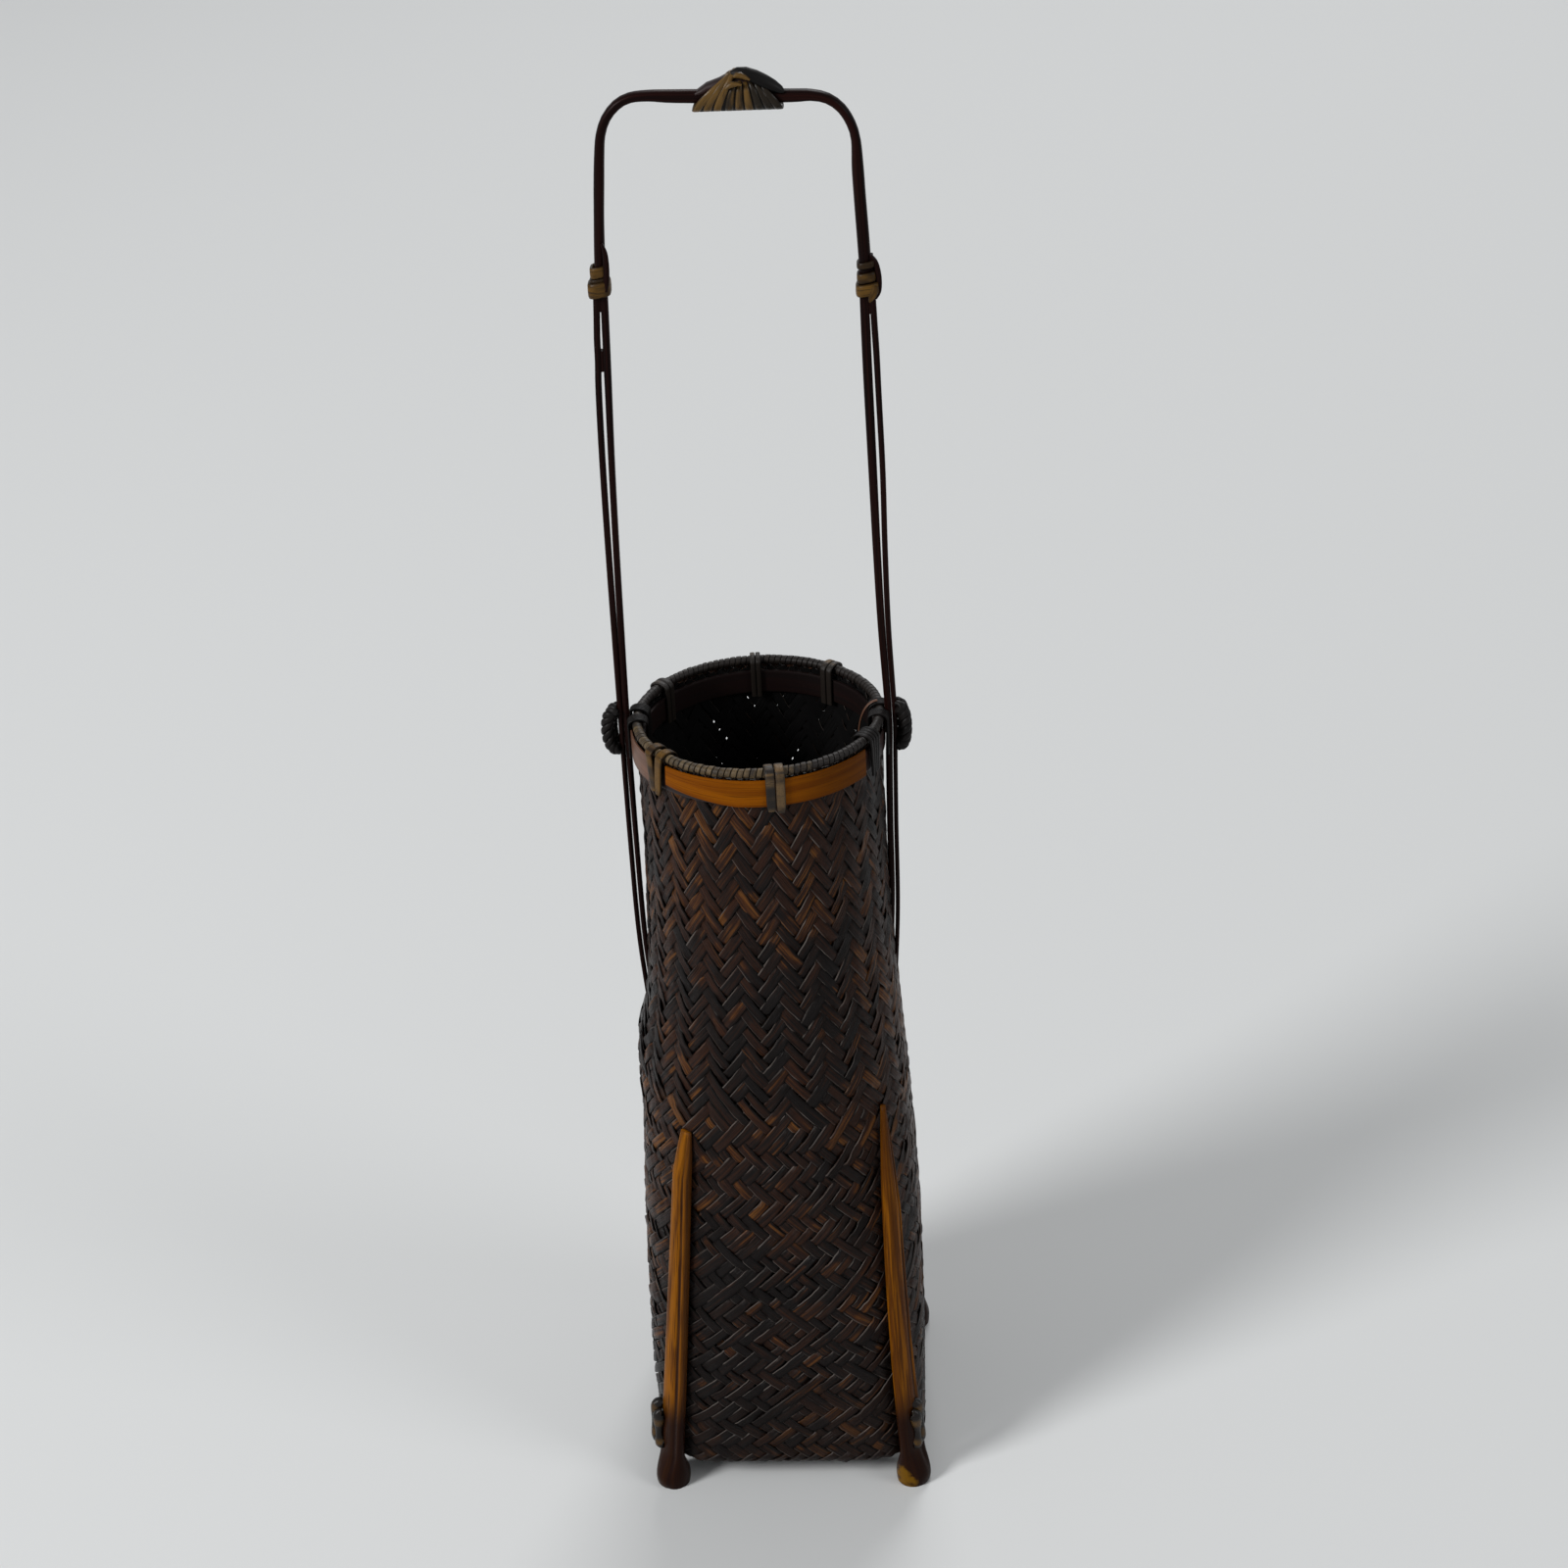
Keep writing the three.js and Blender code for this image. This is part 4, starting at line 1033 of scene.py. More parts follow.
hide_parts("handle_tie_right_back")


# The handle's bow: one strip of dark polished bamboo, bent over heat into a square-shouldered U and
# shaved thinner at its bends. Its route is points of x, z and width, in mm, from the left splice
# over the top to the right one.
BOW_ROUTE = [
    (-48.2, 518, 4.0), (-47.4, 534, 4.0), (-46.6, 547, 3.8), (-45.6, 560, 3.9), (-44.7, 570, 3.7),
    (-43.7, 577, 3.5), (-41.4, 582.8, 3.5), (-37.4, 587.4, 3.6), (-32.6, 589.8, 3.6), (-26, 590.3, 3.9),
    (-17, 589.8, 4.6), (4, 589.1, 4.8), (24, 588.6, 4.6), (31, 588.5, 4.0), (36.6, 587.1, 3.7),
    (41.2, 583.5, 3.5), (44.4, 578, 3.4), (45.9, 572, 3.5), (46.2, 562, 4.3), (46.6, 551, 4.4),
    (47.1, 540, 4.5), (47.5, 530, 4.5), (47.9, 518, 4.3),
]
BOW_DEPTH = 5.0 * MM
BOW_POINT_SPACING = 2.5
TOWARDS_FRONT = Vector((0, -1, 0))


def smooth_route(route, spacing):
    """A smooth line through points of x, z and width in mm, and the width at each of its points."""
    spots = [Vector(spot) for spot in route]
    ends = [2 * spots[0] - spots[1], *spots, 2 * spots[-1] - spots[-2]]
    smooth = []
    for a, b, c, d in zip(ends, ends[1:], ends[2:], ends[3:]):
        steps = max(2, round((c - b).length / spacing))
        for step in range(steps):
            t = step / steps
            bend = (2 * a - 5 * b + 4 * c - d) * t * t + (3 * b - a - 3 * c + d) * t ** 3
            smooth.append((2 * b + (c - a) * t + bend) / 2)
    smooth.append(spots[-1])
    return [Vector((x, 0, z)) * MM for x, z, width in smooth], [width * MM for x, z, width in smooth]


polished_bamboo = split_bamboo(
    "polished_bamboo", (0.0135, 0.0036, 0.0028), (0.0045, 0.002, 0.0018), (0.0026, 0.0016, 0.0015), 0.3,
    shine=0.04,
)
line, widths = smooth_route(BOW_ROUTE, BOW_POINT_SPACING)
strands = Strands()
strands.lay(line, TOWARDS_FRONT, widths, BOW_DEPTH, tone=0.6, sides=20, flatness=0.85)
bow = strands.piece("bow", polished_bamboo)
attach(bow, "basket")
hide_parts("handle_bow")


# The handle's strips: two thin slats on each side that run from the bow down past the rim, come to
# lie on the wall and end under the weave. Below the splice they are still joined in places, where the
# cane wasn't split through. Routes are points of x, z and width, in mm, from the splice down.
STRIP_ROUTES = {
    "left_outer": [
        (-49.4, 527, 2.2), (-50.2, 511, 2.4), (-50.8, 502, 2.4), (-51.1, 493, 2.4), (-51.8, 481, 2.4),
        (-52.6, 452, 2.4), (-53.1, 418, 2.4), (-53.4, 385, 2.4), (-53.8, 341, 2.1), (-54, 285, 1.9),
        (-53.6, 245, 1.8), (-51.4, 208, 1.6),
    ],
    "left_inner": [
        (-46.4, 533, 2.4), (-47.2, 511, 2.8), (-47.5, 502, 2.8), (-47.8, 493, 2.8), (-48.2, 481, 2.7),
        (-49.2, 452, 2.5), (-50.1, 418, 2.5), (-50.8, 385, 2.6), (-51.5, 341, 2.4), (-51.6, 285, 2),
        (-51.3, 246, 2), (-49.6, 215, 1.8),
    ],
    "right_inner": [
        (46.7, 524, 3), (47, 505, 3.5), (47.1, 493, 3.5), (47.3, 478, 3.5), (47.8, 446, 3.3),
        (48.3, 414, 3.1), (49.1, 381, 2.9), (50.7, 343, 2.7), (50.4, 325, 2.7), (49.9, 295, 2.6),
        (49.6, 262, 2.5), (48.2, 228, 2),
    ],
    "right_outer": [
        (49.6, 530, 2), (50.2, 505, 2.4), (50.6, 493, 2.4), (50.9, 478, 2.3), (51.5, 446, 2.2),
        (51.4, 414, 2.2), (51.7, 381, 2.2), (53.1, 343, 2), (52.8, 325, 1.8), (52.3, 295, 1.8),
        (51.8, 255, 1.8), (49.6, 215, 1.6),
    ],
}
STRIP_BRIDGES = {
    "left_inner": [[(-48.4, 520), (-48.9, 512)], [(-49.4, 497), (-49.6, 489)]],
    "right_inner": [[(48.7, 518), (48.9, 508)]],
}
STRIP_DEPTH = 3.6 * MM
BRIDGE_WIDTH = 2.0 * MM
BRIDGE_DEPTH = 0.8 * STRIP_DEPTH
STRIP_POINT_SPACING = 4
for place, route in STRIP_ROUTES.items():
    line, widths = smooth_route(route, STRIP_POINT_SPACING)
    strands = Strands()
    strands.lay(line, TOWARDS_FRONT, widths, STRIP_DEPTH, tone=0.7, flatness=0.5)
    for ends in STRIP_BRIDGES.get(place, ()):
        bridge = [Vector((x, 0, z)) * MM for x, z in ends]
        strands.lay(bridge, TOWARDS_FRONT, BRIDGE_WIDTH, BRIDGE_DEPTH, tone=0.7, flatness=0.5)
    piece = strands.piece(f"strip_{place}", polished_bamboo)
    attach(piece, "basket")
    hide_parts(f"handle_strip_{place}")


# The splice lashings: flat golden strands bound round each end of the bow and its strips. The
# lowest turn bulges. A dark end is turned down over each splice, and on the right the strand's own
# end hangs out below. Turns are given by middle, height, place across, half width and tone.
WRAP_THICKNESS = 1.3 * MM
WRAP_STEPS = 40
WRAP_HALF_DEPTH = BOW_DEPTH / 2 + WRAP_THICKNESS / 2
WRAP_SQUARENESS = 0.6
WRAP_SLANT = 0.5 * MM
LOWEST_BULGE = 0.5 * MM
SPLICE_TURNS = {
    "left": [
        (527.4, 4.2, -48.1, 2.7, 0.2), (524.4, 1.5, -48.2, 2.9, 0.9), (520.9, 5.8, -48.4, 3.4, 0.35),
    ],
    "right": [
        (526.9, 2.4, 47.9, 2.7, 0.8), (522.1, 3.8, 48.0, 2.9, 0.6), (517.7, 4.6, 48.2, 3.4, 0.3),
    ],
}
TURNED_ENDS = {
    "left": [
        (-46, 538.5, 0.8), (-45.1, 535, 1.8), (-45, 530, 2.2), (-45.3, 525, 2.2), (-45.8, 520.5, 1.4),
    ],
    "right": [
        (49.8, 530, 1), (51.2, 527.6, 2), (52, 524, 2.4), (52.3, 520, 2.4), (52, 516.4, 2.2),
        (51, 514, 1.2),
    ],
}
TURNED_END_PLACES = {"left": (-3.6 * MM, 1.4 * MM), "right": (-1.2 * MM, 2.6 * MM)}
LEAF_ROUTE = [(51, 519.5, 2.2), (50.6, 517.2, 2.8), (49.6, 515.2, 2.4), (48.8, 513.6, 0.8)]
LEAF_PLACE = (-4.2 * MM, 1.0 * MM)
END_POINT_SPACING = 1.0


def bound_turn(middle, half_across, half_depth):
    """One turn about an upright, as a rounded rectangle seen from above."""
    line = []
    facing = []
    for step in range(WRAP_STEPS):
        right, back = squared_turn(2 * math.pi * step / WRAP_STEPS, WRAP_SQUARENESS)
        line.append(middle + Vector((half_across * right, half_depth * back, WRAP_SLANT * right)))
        facing.append(Vector((right, back, 0)).normalized())
    return line, facing


def lay_end(strands, route, depth, thickness, tone):
    """Lays a strand's end along a route, in front of the handle's middle or behind it."""
    line, widths = smooth_route(route, END_POINT_SPACING)
    line = [point + Vector((0, depth, 0)) for point in line]
    strands.lay(line, TOWARDS_FRONT, widths, thickness, tone, flatness=0.8)


for side_name, turns in SPLICE_TURNS.items():
    strands = Strands()
    for number, (height, tall, across, half_width, tone) in enumerate(turns):
        bulge = LOWEST_BULGE if number == len(turns) - 1 else 0.0
        middle = Vector((across, 0, height)) * MM
        line, facing = bound_turn(middle, half_width * MM, WRAP_HALF_DEPTH + bulge)
        strands.lay(line, facing, tall * MM, WRAP_THICKNESS + bulge, tone, flatness=0.55, closed=True)
    if side_name == "right":
        lay_end(strands, LEAF_ROUTE, *LEAF_PLACE, 0.45)
    turned_end = Strands()
    lay_end(turned_end, TURNED_ENDS[side_name], *TURNED_END_PLACES[side_name], 0.6)
    binding = strands.piece(f"splice_lashing_{side_name}", golden_rattan)
    end_piece = turned_end.piece(f"splice_end_{side_name}", polished_bamboo)
    for piece in (binding, end_piece):
        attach(piece, "basket")
        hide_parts(f"handle_lashing_{side_name}")


# The knot on the bow: flat strands wound over a wad of their own ends. Three lean up to a peak on
# the left, three stand under two beads in the middle and three lean in from the right, where a wide
# dark end is folded over. Dark strands sunk between them and the dark wad are painted shade in the
# gaps. A strand has a foot, a head, a rise, a tone.
KNOT_STRANDS = [
    (-9.4, 2.2, 5.6, 0.05), (-5.6, 3.6, 6.8, 0.2), (-1.9, 4.8, 7.5, 0.0),
    (2.2, 4.6, 4.2, 0.55), (5.8, 6.4, 4.6, 0.45), (9.3, 8.2, 4.2, 0.2),
    (12.9, 9.8, 4.2, 0.85), (16.4, 11.4, 3.8, 0.95), (19.6, 13.2, 3.0, 1.05),
]
KNOT_STRAND = 3.2 * MM
KNOT_NARROWING = 0.55
UNDER_DEPTH = 0.5 * MM
KNOT_THICKNESS = 1.2 * MM
KNOT_LOOP_STEPS = 40
KNOT_BOTTOM = 584.6 * MM
KNOT_SQUARENESS = 0.75
KNOT_BELLY = 1.0 * MM
KNOT_LEAN = 1.4
BAR_TOP = 590.8 * MM
FOLD_POINTS = [
    (3.4, 7.0, 1.4), (5.6, 7.5, 3.2), (8.4, 7.0, 4.4), (11.6, 5.6, 5.0), (14.8, 3.9, 5.0),
    (17.8, 2.2, 4.4), (20.4, 0.6, 3.0), (21.6, -0.2, 1.2),
]
FOLD_DEPTH = 2.2 * MM
FOLD_THICKNESS = 0.62
FOLD_FACING = Vector((0.3, -0.8, 0.7)).normalized()
BEAD_ROUTES = [
    [(1.6, 2.6), (2.6, 3.3), (3.8, 3.8), (5.4, 3.9), (7.2, 3.6)],
    [(4.4, 6.2), (5.4, 6.7), (6.8, 6.6), (8.4, 5.9), (10.0, 5.0)],
]
BEAD_WIDTHS = [1.0 * MM, 2.0 * MM, 2.3 * MM, 1.8 * MM, 0.8 * MM]
BEAD_DEPTHS = (5.0 * MM, 3.9 * MM)
BEAD_THICKNESS = 2.2 * MM
WAD_POINTS = [(-9.4, 1.0), (-5, 4.0), (1, 6.2), (6, 6.8), (11, 5.2), (16, 3.0), (20.4, 0.8)]
WAD_WIDTH = 5.4 * MM
WAD_SINK = 0.6 * MM
knot_rattan = rattan_finish(
    "knot_rattan", (0.115, 0.062, 0.015), (0.013, 0.009, 0.005), (0.0035, 0.0028, 0.0022), 0.26,
    shine=0.15,
)


def knot_strand_line(foot, head, rise, sunk=0.0):
    """A strand from under the bar, up the front to its head, over it and down the back."""
    high = BAR_TOP + rise - sunk
    line = []
    facing = []
    widths = []
    for step in range(KNOT_LOOP_STEPS):
        angle = 2 * math.pi * step / KNOT_LOOP_STEPS - math.pi / 2
        front, up = squared_turn(angle, KNOT_SQUARENESS)
        lift = (up + 1) / 2
        lean = lift ** KNOT_LEAN
        depth = BOW_DEPTH / 2 + KNOT_THICKNESS / 2 + KNOT_BELLY * math.sin(math.pi * lift) - sunk
        z = KNOT_BOTTOM + (high - KNOT_BOTTOM) * lift
        line.append(Vector((foot + (head - foot) * lean, -depth * front, z)))
        facing.append(Vector((0, -front, up)).normalized())
        widths.append(KNOT_STRAND * (1 - KNOT_NARROWING * lean))
    return line, facing, widths


strands = Strands()
for foot, head, rise, tone in KNOT_STRANDS:
    line, facing, widths = knot_strand_line(foot * MM, head * MM, rise * MM)
    strands.lay(line, facing, widths, KNOT_THICKNESS, tone, sides=10, flatness=0.7, closed=True)
for route, depth in zip(BEAD_ROUTES, BEAD_DEPTHS):
    line = [Vector((x * MM, -depth, BAR_TOP + z * MM)) for x, z in route]
    strands.lay(line, TOWARDS_FRONT, BEAD_WIDTHS, BEAD_THICKNESS, tone=0.1, sides=14, flatness=0.95)
knot = strands.piece("bow_knot", knot_rattan)
fold = Strands()
# Dark strands sunk between the knot's strands: painted shade in the gaps.
for one, other in zip(KNOT_STRANDS, KNOT_STRANDS[1:]):
    foot, head, rise, _ = ((a + b) / 2 * MM for a, b in zip(one, other))
    line, facing, widths = knot_strand_line(foot, head, rise, UNDER_DEPTH)
    fold.lay(line, facing, widths, KNOT_THICKNESS, tone=0.9, sides=10, flatness=0.7, closed=True)
line = [Vector((x * MM, -FOLD_DEPTH, BAR_TOP + z * MM)) for x, z, width in FOLD_POINTS]
widths = [width * MM for x, z, width in FOLD_POINTS]
thicknesses = [FOLD_THICKNESS * width for width in widths]
fold.lay(line, FOLD_FACING, widths, thicknesses, tone=0.9, sides=18, flatness=0.95)
fold_and_gap_shade_piece = fold.piece("knot_fold_and_gap_shade", dark_cord)
# The wad is dark as painted shade, where the gaps between the strands show it.
wad = Strands()
line = [Vector((x * MM, 0, BAR_TOP + height * MM / 2 - WAD_SINK)) for x, height in WAD_POINTS]
thicknesses = [height * MM for x, height in WAD_POINTS]
wad.lay(line, Vector((0, 0, 1)), WAD_WIDTH, thicknesses, flatness=0.7)
wad_piece = wad.piece("knot_wad", dark_hoop)
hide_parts("top_knot_winding")
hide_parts("top_knot_winding")
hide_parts("top_knot_core")
for piece in (knot, fold_and_gap_shade_piece, wad_piece):
    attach(piece, "basket")


# The side knots: a loop of dark twisted cord on the outside of each pair of handle strips, where
# the ends of the ties are knotted at the height of the rim.
SIDE_LOOPS = {
    "left": {"side": -1, "seat": 54.6 * MM, "reach": 4.5 * MM, "bottom": 332.2 * MM},
    "right": {"side": 1, "seat": 53.9 * MM, "reach": 3.2 * MM, "bottom": 331.2 * MM},
}
SIDE_LOOP_HEIGHT = 16.4 * MM
SIDE_CORD = {"strand": 1.3 * MM, "lay": 1.45 * MM, "twists": 2.4}
SIDE_LOOP_PAIR = ((-1.5 * MM, 1.0), (1.5 * MM, 0.75))
CORD_STRANDS = 3
CORD_STEPS = 60
LOOP_SQUARENESS = 0.6
STRAND_BREADTH = 2.1
STRAND_DEPTH = 1.9


def loop_line(seat, reach, bottom, height, side, y, lean=0.0):
    """Half an oval in the handle's plane, standing out from a seat."""
    line = []
    for step in range(CORD_STEPS + 1):
        angle = math.pi * step / CORD_STEPS
        out = math.sin(angle) ** LOOP_SQUARENESS if 0 < step < CORD_STEPS else 0.0
        z = bottom + height * (1 - math.cos(angle)) / 2
        line.append(Vector((side * (seat + reach * out + lean * (z - bottom)), y, z)))
    return line


def twist_cord(strands, line, binormal, cord, tone):
    """Lays strands round a line, turning about it, as a twisted cord."""
    breadth, depth = STRAND_BREADTH * cord["strand"], STRAND_DEPTH * cord["strand"]
    for number in range(CORD_STRANDS):
        wound = []
        facing = []
        for i, point in enumerate(line):
            ahead = (line[min(i + 1, len(line) - 1)] - line[max(i - 1, 0)]).normalized()
            out = binormal.cross(ahead).normalized()
            angle = 2 * math.pi * (cord["twists"] * i / (len(line) - 1) + number / CORD_STRANDS)
            direction = out * math.cos(angle) + binormal * math.sin(angle)
            wound.append(point + direction * cord["lay"])
            facing.append(direction)
        strands.lay(wound, facing, breadth, depth, tone + 0.2 * number, sides=10, flatness=0.8)


for side_name, loop in SIDE_LOOPS.items():
    strands = Strands()
    for y, reach_share in SIDE_LOOP_PAIR:
        reach = loop["reach"] * reach_share
        line = loop_line(loop["seat"], reach, loop["bottom"], SIDE_LOOP_HEIGHT, loop["side"], y)
        twist_cord(strands, line, Vector((0, 1, 0)), SIDE_CORD, 0.1)
    knot = strands.piece(f"side_knot_{side_name}", dark_cord)
    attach(knot, "basket")
    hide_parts(f"handle_knot_{side_name}")


# The legs: split bamboo with the root end down, laid along the body's corners. Each is rounded on
# the outside with a groove along it, cut to a point above and flared into a glossy foot below. The
# front pair leans a little round the body.
LEG_WIDTH = 12.6 * MM
LEG_THICKNESS = 6 * MM
LEG_SHOULDER_WIDTH = 8.4 * MM
LEG_TIP_THICKNESS = 2.2 * MM
LEG_GAP = 0.3 * MM
LEG_SQUARENESS = 0.8
FOOT_RADIUS = 7.4 * MM
FOOT_HEIGHT = 18 * MM
FOOT_BULGE = 3.6 * MM
FOOT_ROUNDING = 0.14
LEG_SIDES = 48
GROOVE_TURN = 0.5
GROOVE_DEPTH = 0.14
GROOVE_WIDTH = 0.2
FOOT_RINGS = (0, 0.12, 0.3, 0.55, 0.8, 1)
FLARE_RINGS = 10
SHAFT_RINGS = 30
POINT_RINGS = 16
LEG_LIGHT = (0.21, 0.071, 0.002)
LEG_BROWN = (0.085, 0.026, 0.002)
LEG_FIBRES = (0.03, 0.009, 0.003)
LEG_SHADED = (0.03, 0.011, 0.0045)
LEG_GROOVE = (0.016, 0.006, 0.0035)
LEG_ROOT = (0.0105, 0.0036, 0.0027)
LEG_WORN = (0.15, 0.07, 0.004)
WORN_PLACE = (47 * MM, -58 * MM, 4 * MM)
LEGS = {
    "back_right": {"side": 1, "depth": 1, "height": 180 * MM, "point": 20 * MM, "tip": 2.4 * MM},
    "back_left": {"side": -1, "depth": 1, "height": 180 * MM, "point": 20 * MM, "tip": 2.4 * MM},
    "front_left": {"side": -1, "depth": -1, "height": 179 * MM, "point": 20 * MM, "tip": 5.2 * MM},
    "front_right": {"side": 1, "depth": -1, "height": 184 * MM, "point": 48 * MM, "tip": 1.8 * MM},
}
LEANS = {"back_right": (0, 0), "back_left": (0, 0), "front_left": (6.5, 0), "front_right": (5.5, -2.7)}


def eased(share):
    """A share held between 0 and 1, with a soft start and end."""
    held = min(1.0, max(0.0, share))
    return held * held * (3 - 2 * held)


def corner_reach(z):
    """How far the body's corners are from its middle at a height."""
    share = (z - BODY_BOTTOM) / (ROUND_HEIGHT - BODY_BOTTOM)
    return (CORNER_AT_FLOOR + (CORNER_AT_ROUND - CORNER_AT_FLOOR) * share) / CORNER_SHARE


def leg_sizes(z, leg):
    """Half width, half thickness and the share of the foot's flare at a height."""
    point_start = leg["height"] - leg["point"]
    taper = min(1.0, max(0.0, (z - FOOT_HEIGHT) / (point_start - FOOT_HEIGHT)))
    point = min(1.0, max(0.0, (z - point_start) / leg["point"]))
    if z < FOOT_BULGE:
        flare = 1 - FOOT_ROUNDING * (1 - z / FOOT_BULGE) ** 2
    else:
        flare = 1 - eased((z - FOOT_BULGE) / (FOOT_HEIGHT - FOOT_BULGE))
    width = LEG_WIDTH + (LEG_SHOULDER_WIDTH - LEG_WIDTH) * taper
    half_width = (width + (leg["tip"] - width) * point ** 1.5) / 2
    half_thickness = (LEG_THICKNESS + (LEG_TIP_THICKNESS - LEG_THICKNESS) * point) / 2
    half_width += (FOOT_RADIUS - half_width) * flare
    half_thickness += (FOOT_RADIUS - half_thickness) * flare
    return half_width, half_thickness, flare


def leg_reach(z, leg):
    """How far a leg's middle is from the basket's at a height. A foot stands straight below."""
    seat = max(z, FOOT_HEIGHT)
    return corner_reach(seat) + LEG_GAP + leg_sizes(seat, leg)[1]


def leg_piece(name, leg, lean, bend, material):
    """A leg as a skin over level rings, turned about the basket as it leans and bends."""
    point_start = leg["height"] - leg["point"]
    heights = [FOOT_BULGE * share for share in FOOT_RINGS]
    for low, high, rings in (
        (FOOT_BULGE, FOOT_HEIGHT, FLARE_RINGS),
        (FOOT_HEIGHT, point_start, SHAFT_RINGS),
        (point_start, leg["height"], POINT_RINGS),
    ):
        heights += [low + (high - low) * ring / rings for ring in range(1, rings + 1)]
    points = []
    marks = {"along": [], "across": [], "tone": []}
    for z in heights:
        half_width, half_thickness, flare = leg_sizes(z, leg)
        share = z / leg["height"]
        off_corner = lean * share + 4 * bend * share * (1 - share)
        bearing = math.atan2(leg["depth"], leg["side"]) + math.radians(off_corner)
        out = Vector((math.cos(bearing), math.sin(bearing), 0))
        along_corner = Vector((-out.y, out.x, 0))
        centre = out * leg_reach(z, leg) + Vector((0, 0, z))
        squareness = LEG_SQUARENESS + (1 - LEG_SQUARENESS) * flare
        for i in range(LEG_SIDES):
            angle = 2 * math.pi * i / LEG_SIDES
            turn = math.atan2(math.sin(angle), math.cos(angle))
            dip = math.exp(-(((turn - GROOVE_TURN) / GROOVE_WIDTH) ** 2))
            groove = GROOVE_DEPTH * (1 - flare) * dip
            outward, sideways = squared_turn(angle, squareness)
            across = along_corner * (half_width * sideways * (1 - 0.3 * groove))
            points.append(centre + across + out * (half_thickness * outward * (1 - 2.2 * groove)))
            marks["along"].append(z)
            marks["across"].append(turn)
            marks["tone"].append(flare)
    faces = ring_faces(0, len(heights), LEG_SIDES)
    return new_piece(name, points, faces, material, marks=marks)


def leg_finish():
    """Split bamboo with its dark root below, brown streaks, painted shade on the right legs and on one
    side of each leg, a dark groove and one worn spot.
    """
    material, tree = new_finish("leg_bamboo", 0.4, shine=0.05)
    along, turn = readings(tree, "along", "across")
    x, y, z = place_on_piece(tree)
    corner = x.sign() + y.sign() * 2.0
    bands = grain(along * 26.0, turn * 2.6, corner * 11.0, 4.0)
    fibres = grain(along * 50.0, turn * 13.0, corner * 7.0, 4.0)
    # Brown streaks, with painted shade that makes the right legs browner.
    brown_and_right_shade = (bands + x.sign() * 0.06).between(0.4, 0.6).eased()
    colour = mixed(brown_and_right_shade, LEG_LIGHT, LEG_BROWN)
    colour = mixed(fibres.between(0.5, 0.66).eased() * 0.8, colour, LEG_FIBRES)
    shaded_side = turn.between(0.55, 1.3).eased() * turn.between(2.6, 2.0).eased()
    colour = mixed(shaded_side * 0.75, colour, LEG_SHADED)
    groove = (turn - GROOVE_TURN).size().between(0.26, 0.06).eased()
    groove = groove * (bands + 0.35).between(0.6, 0.9).eased()
    colour = mixed(groove * 0.9, colour, LEG_GROOVE)
    root = (along + bands * 16 * MM).between(60 * MM, 40 * MM).eased()
    colour = mixed(root * 0.95, colour, LEG_ROOT)
    across, back, up = ((here - there).power(2.0) for here, there in zip((x, y, z), WORN_PLACE))
    spots = grain(x * 260.0, y * 260.0, z * 260.0)
    bare = across + back + up + (spots - 0.5) * (12 * MM) ** 2
    worn = bare.between((6.4 * MM) ** 2, (2 * MM) ** 2).eased()
    colour = mixed(worn * 0.9, colour, LEG_WORN)
    complete(colour, 0.28 + fibres * 0.2 - root * 0.16, fibres, 0.3, 0.4 * MM)
    return material


leg_bamboo = leg_finish()
for place, leg in LEGS.items():
    piece = leg_piece(f"split_leg_{place}", leg, *LEANS[place], leg_bamboo)
    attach(piece, "basket")
    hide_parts(f"leg_{place}")


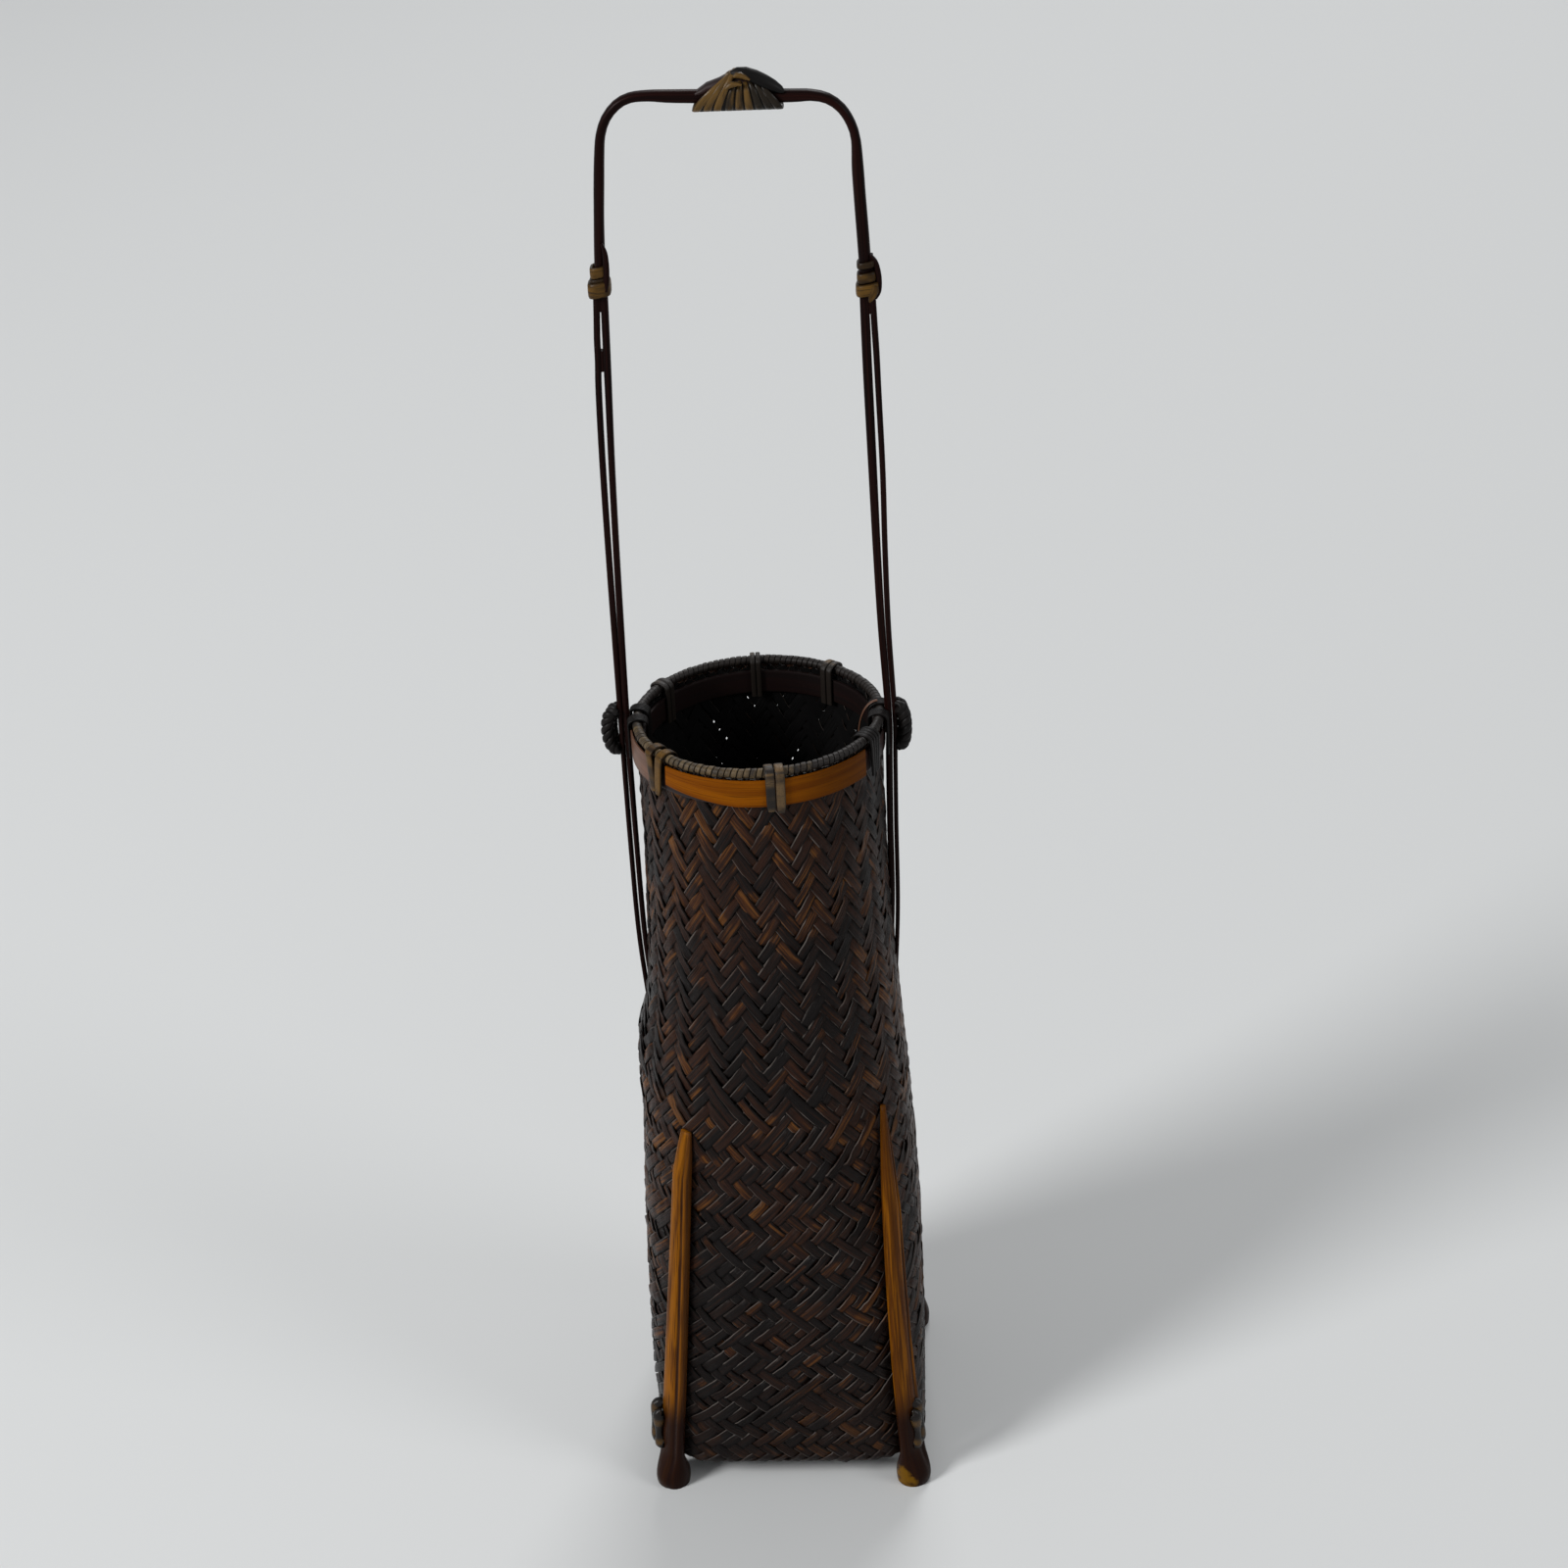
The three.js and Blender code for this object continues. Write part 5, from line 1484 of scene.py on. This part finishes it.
# The leg knots: two loops of thick glossy dark cord on each leg, above the foot, where the cord that
# binds the leg to the body comes out. They stand at the side of a front leg and behind a back leg.
LEG_LOOP_BOTTOM = 20 * MM
LEG_LOOP_HEIGHT = 20 * MM
LEG_LOOP_REACH = 3.0 * MM
LEG_CORD_WIDTH = 4.4 * MM
LEG_CORD_SWELL = 0.25
LEG_CORD_DEPTH = 0.85
LEG_LOOP_SINK = 0.6 * MM
LEG_LOOP_LEAN = -0.03
LEG_LOOP_PAIR = ((-1.2 * MM, 1.0, 1.0), (1.4 * MM, 0.5, 0.85))
LEG_LOOP_PLACES = {
    "back_right": (0.0, 0.0),
    "back_left": (0.0, 0.0),
    "front_left": (0.0, 1.8 * MM),
    "front_right": (-2.8 * MM, 4.0 * MM),
}
# The cord is dark. Its golden light colour, where the tones swing low, is a painted highlight.
glossy_cord_painted_glints = rattan_finish(
    "glossy_cord_painted_glints", (0.08, 0.04, 0.008), (0.006, 0.0037, 0.0028), (0.003, 0.0024, 0.002), 0.2, shine=0.22
)
for place, leg in LEGS.items():
    middle_height = LEG_LOOP_BOTTOM + LEG_LOOP_HEIGHT / 2
    half_width, half_thickness, _ = leg_sizes(middle_height, leg)
    furthest = math.hypot(half_thickness, half_width) * CORNER_SHARE
    leg_middle = leg_reach(middle_height, leg) * CORNER_SHARE
    outward, forward = LEG_LOOP_PLACES[place]
    seat = leg_middle + furthest - LEG_LOOP_SINK + outward
    beside = leg_middle + (half_thickness ** 2 - half_width ** 2) / (2 * furthest) + forward
    strands = Strands()
    behind = leg["depth"] > 0
    for number, (offset, reach_share, height_share) in enumerate(LEG_LOOP_PAIR):
        reach = LEG_LOOP_REACH * reach_share
        height = LEG_LOOP_HEIGHT * height_share
        line = loop_line(seat, reach, LEG_LOOP_BOTTOM, height, 1, beside + offset, LEG_LOOP_LEAN)
        if behind:
            line = [Vector((point.y, point.x, point.z)) for point in line]
        line = [Vector((leg["side"] * point.x, leg["depth"] * point.y, point.z)) for point in line]
        facing = Vector((1, 0, 0)) if behind else Vector((0, 1, 0))
        swells = [LEG_CORD_SWELL * math.sin(9 * i / CORD_STEPS + number) for i in range(len(line))]
        widths = [LEG_CORD_WIDTH * (1 + swell) for swell in swells]
        thicknesses = [LEG_CORD_DEPTH * width for width in widths]
        # Tones swing low in places to give the cord its painted golden glints.
        tones = [0.75 + 0.5 * math.sin(14 * i / CORD_STEPS + 2 * number) for i in range(len(line))]
        strands.lay(line, facing, widths, thicknesses, tones, sides=14, flatness=1.0)
    knot = strands.piece(f"leg_loop_{place}", glossy_cord_painted_glints)
    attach(knot, "basket")
    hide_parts(f"leg_knot_{place}")
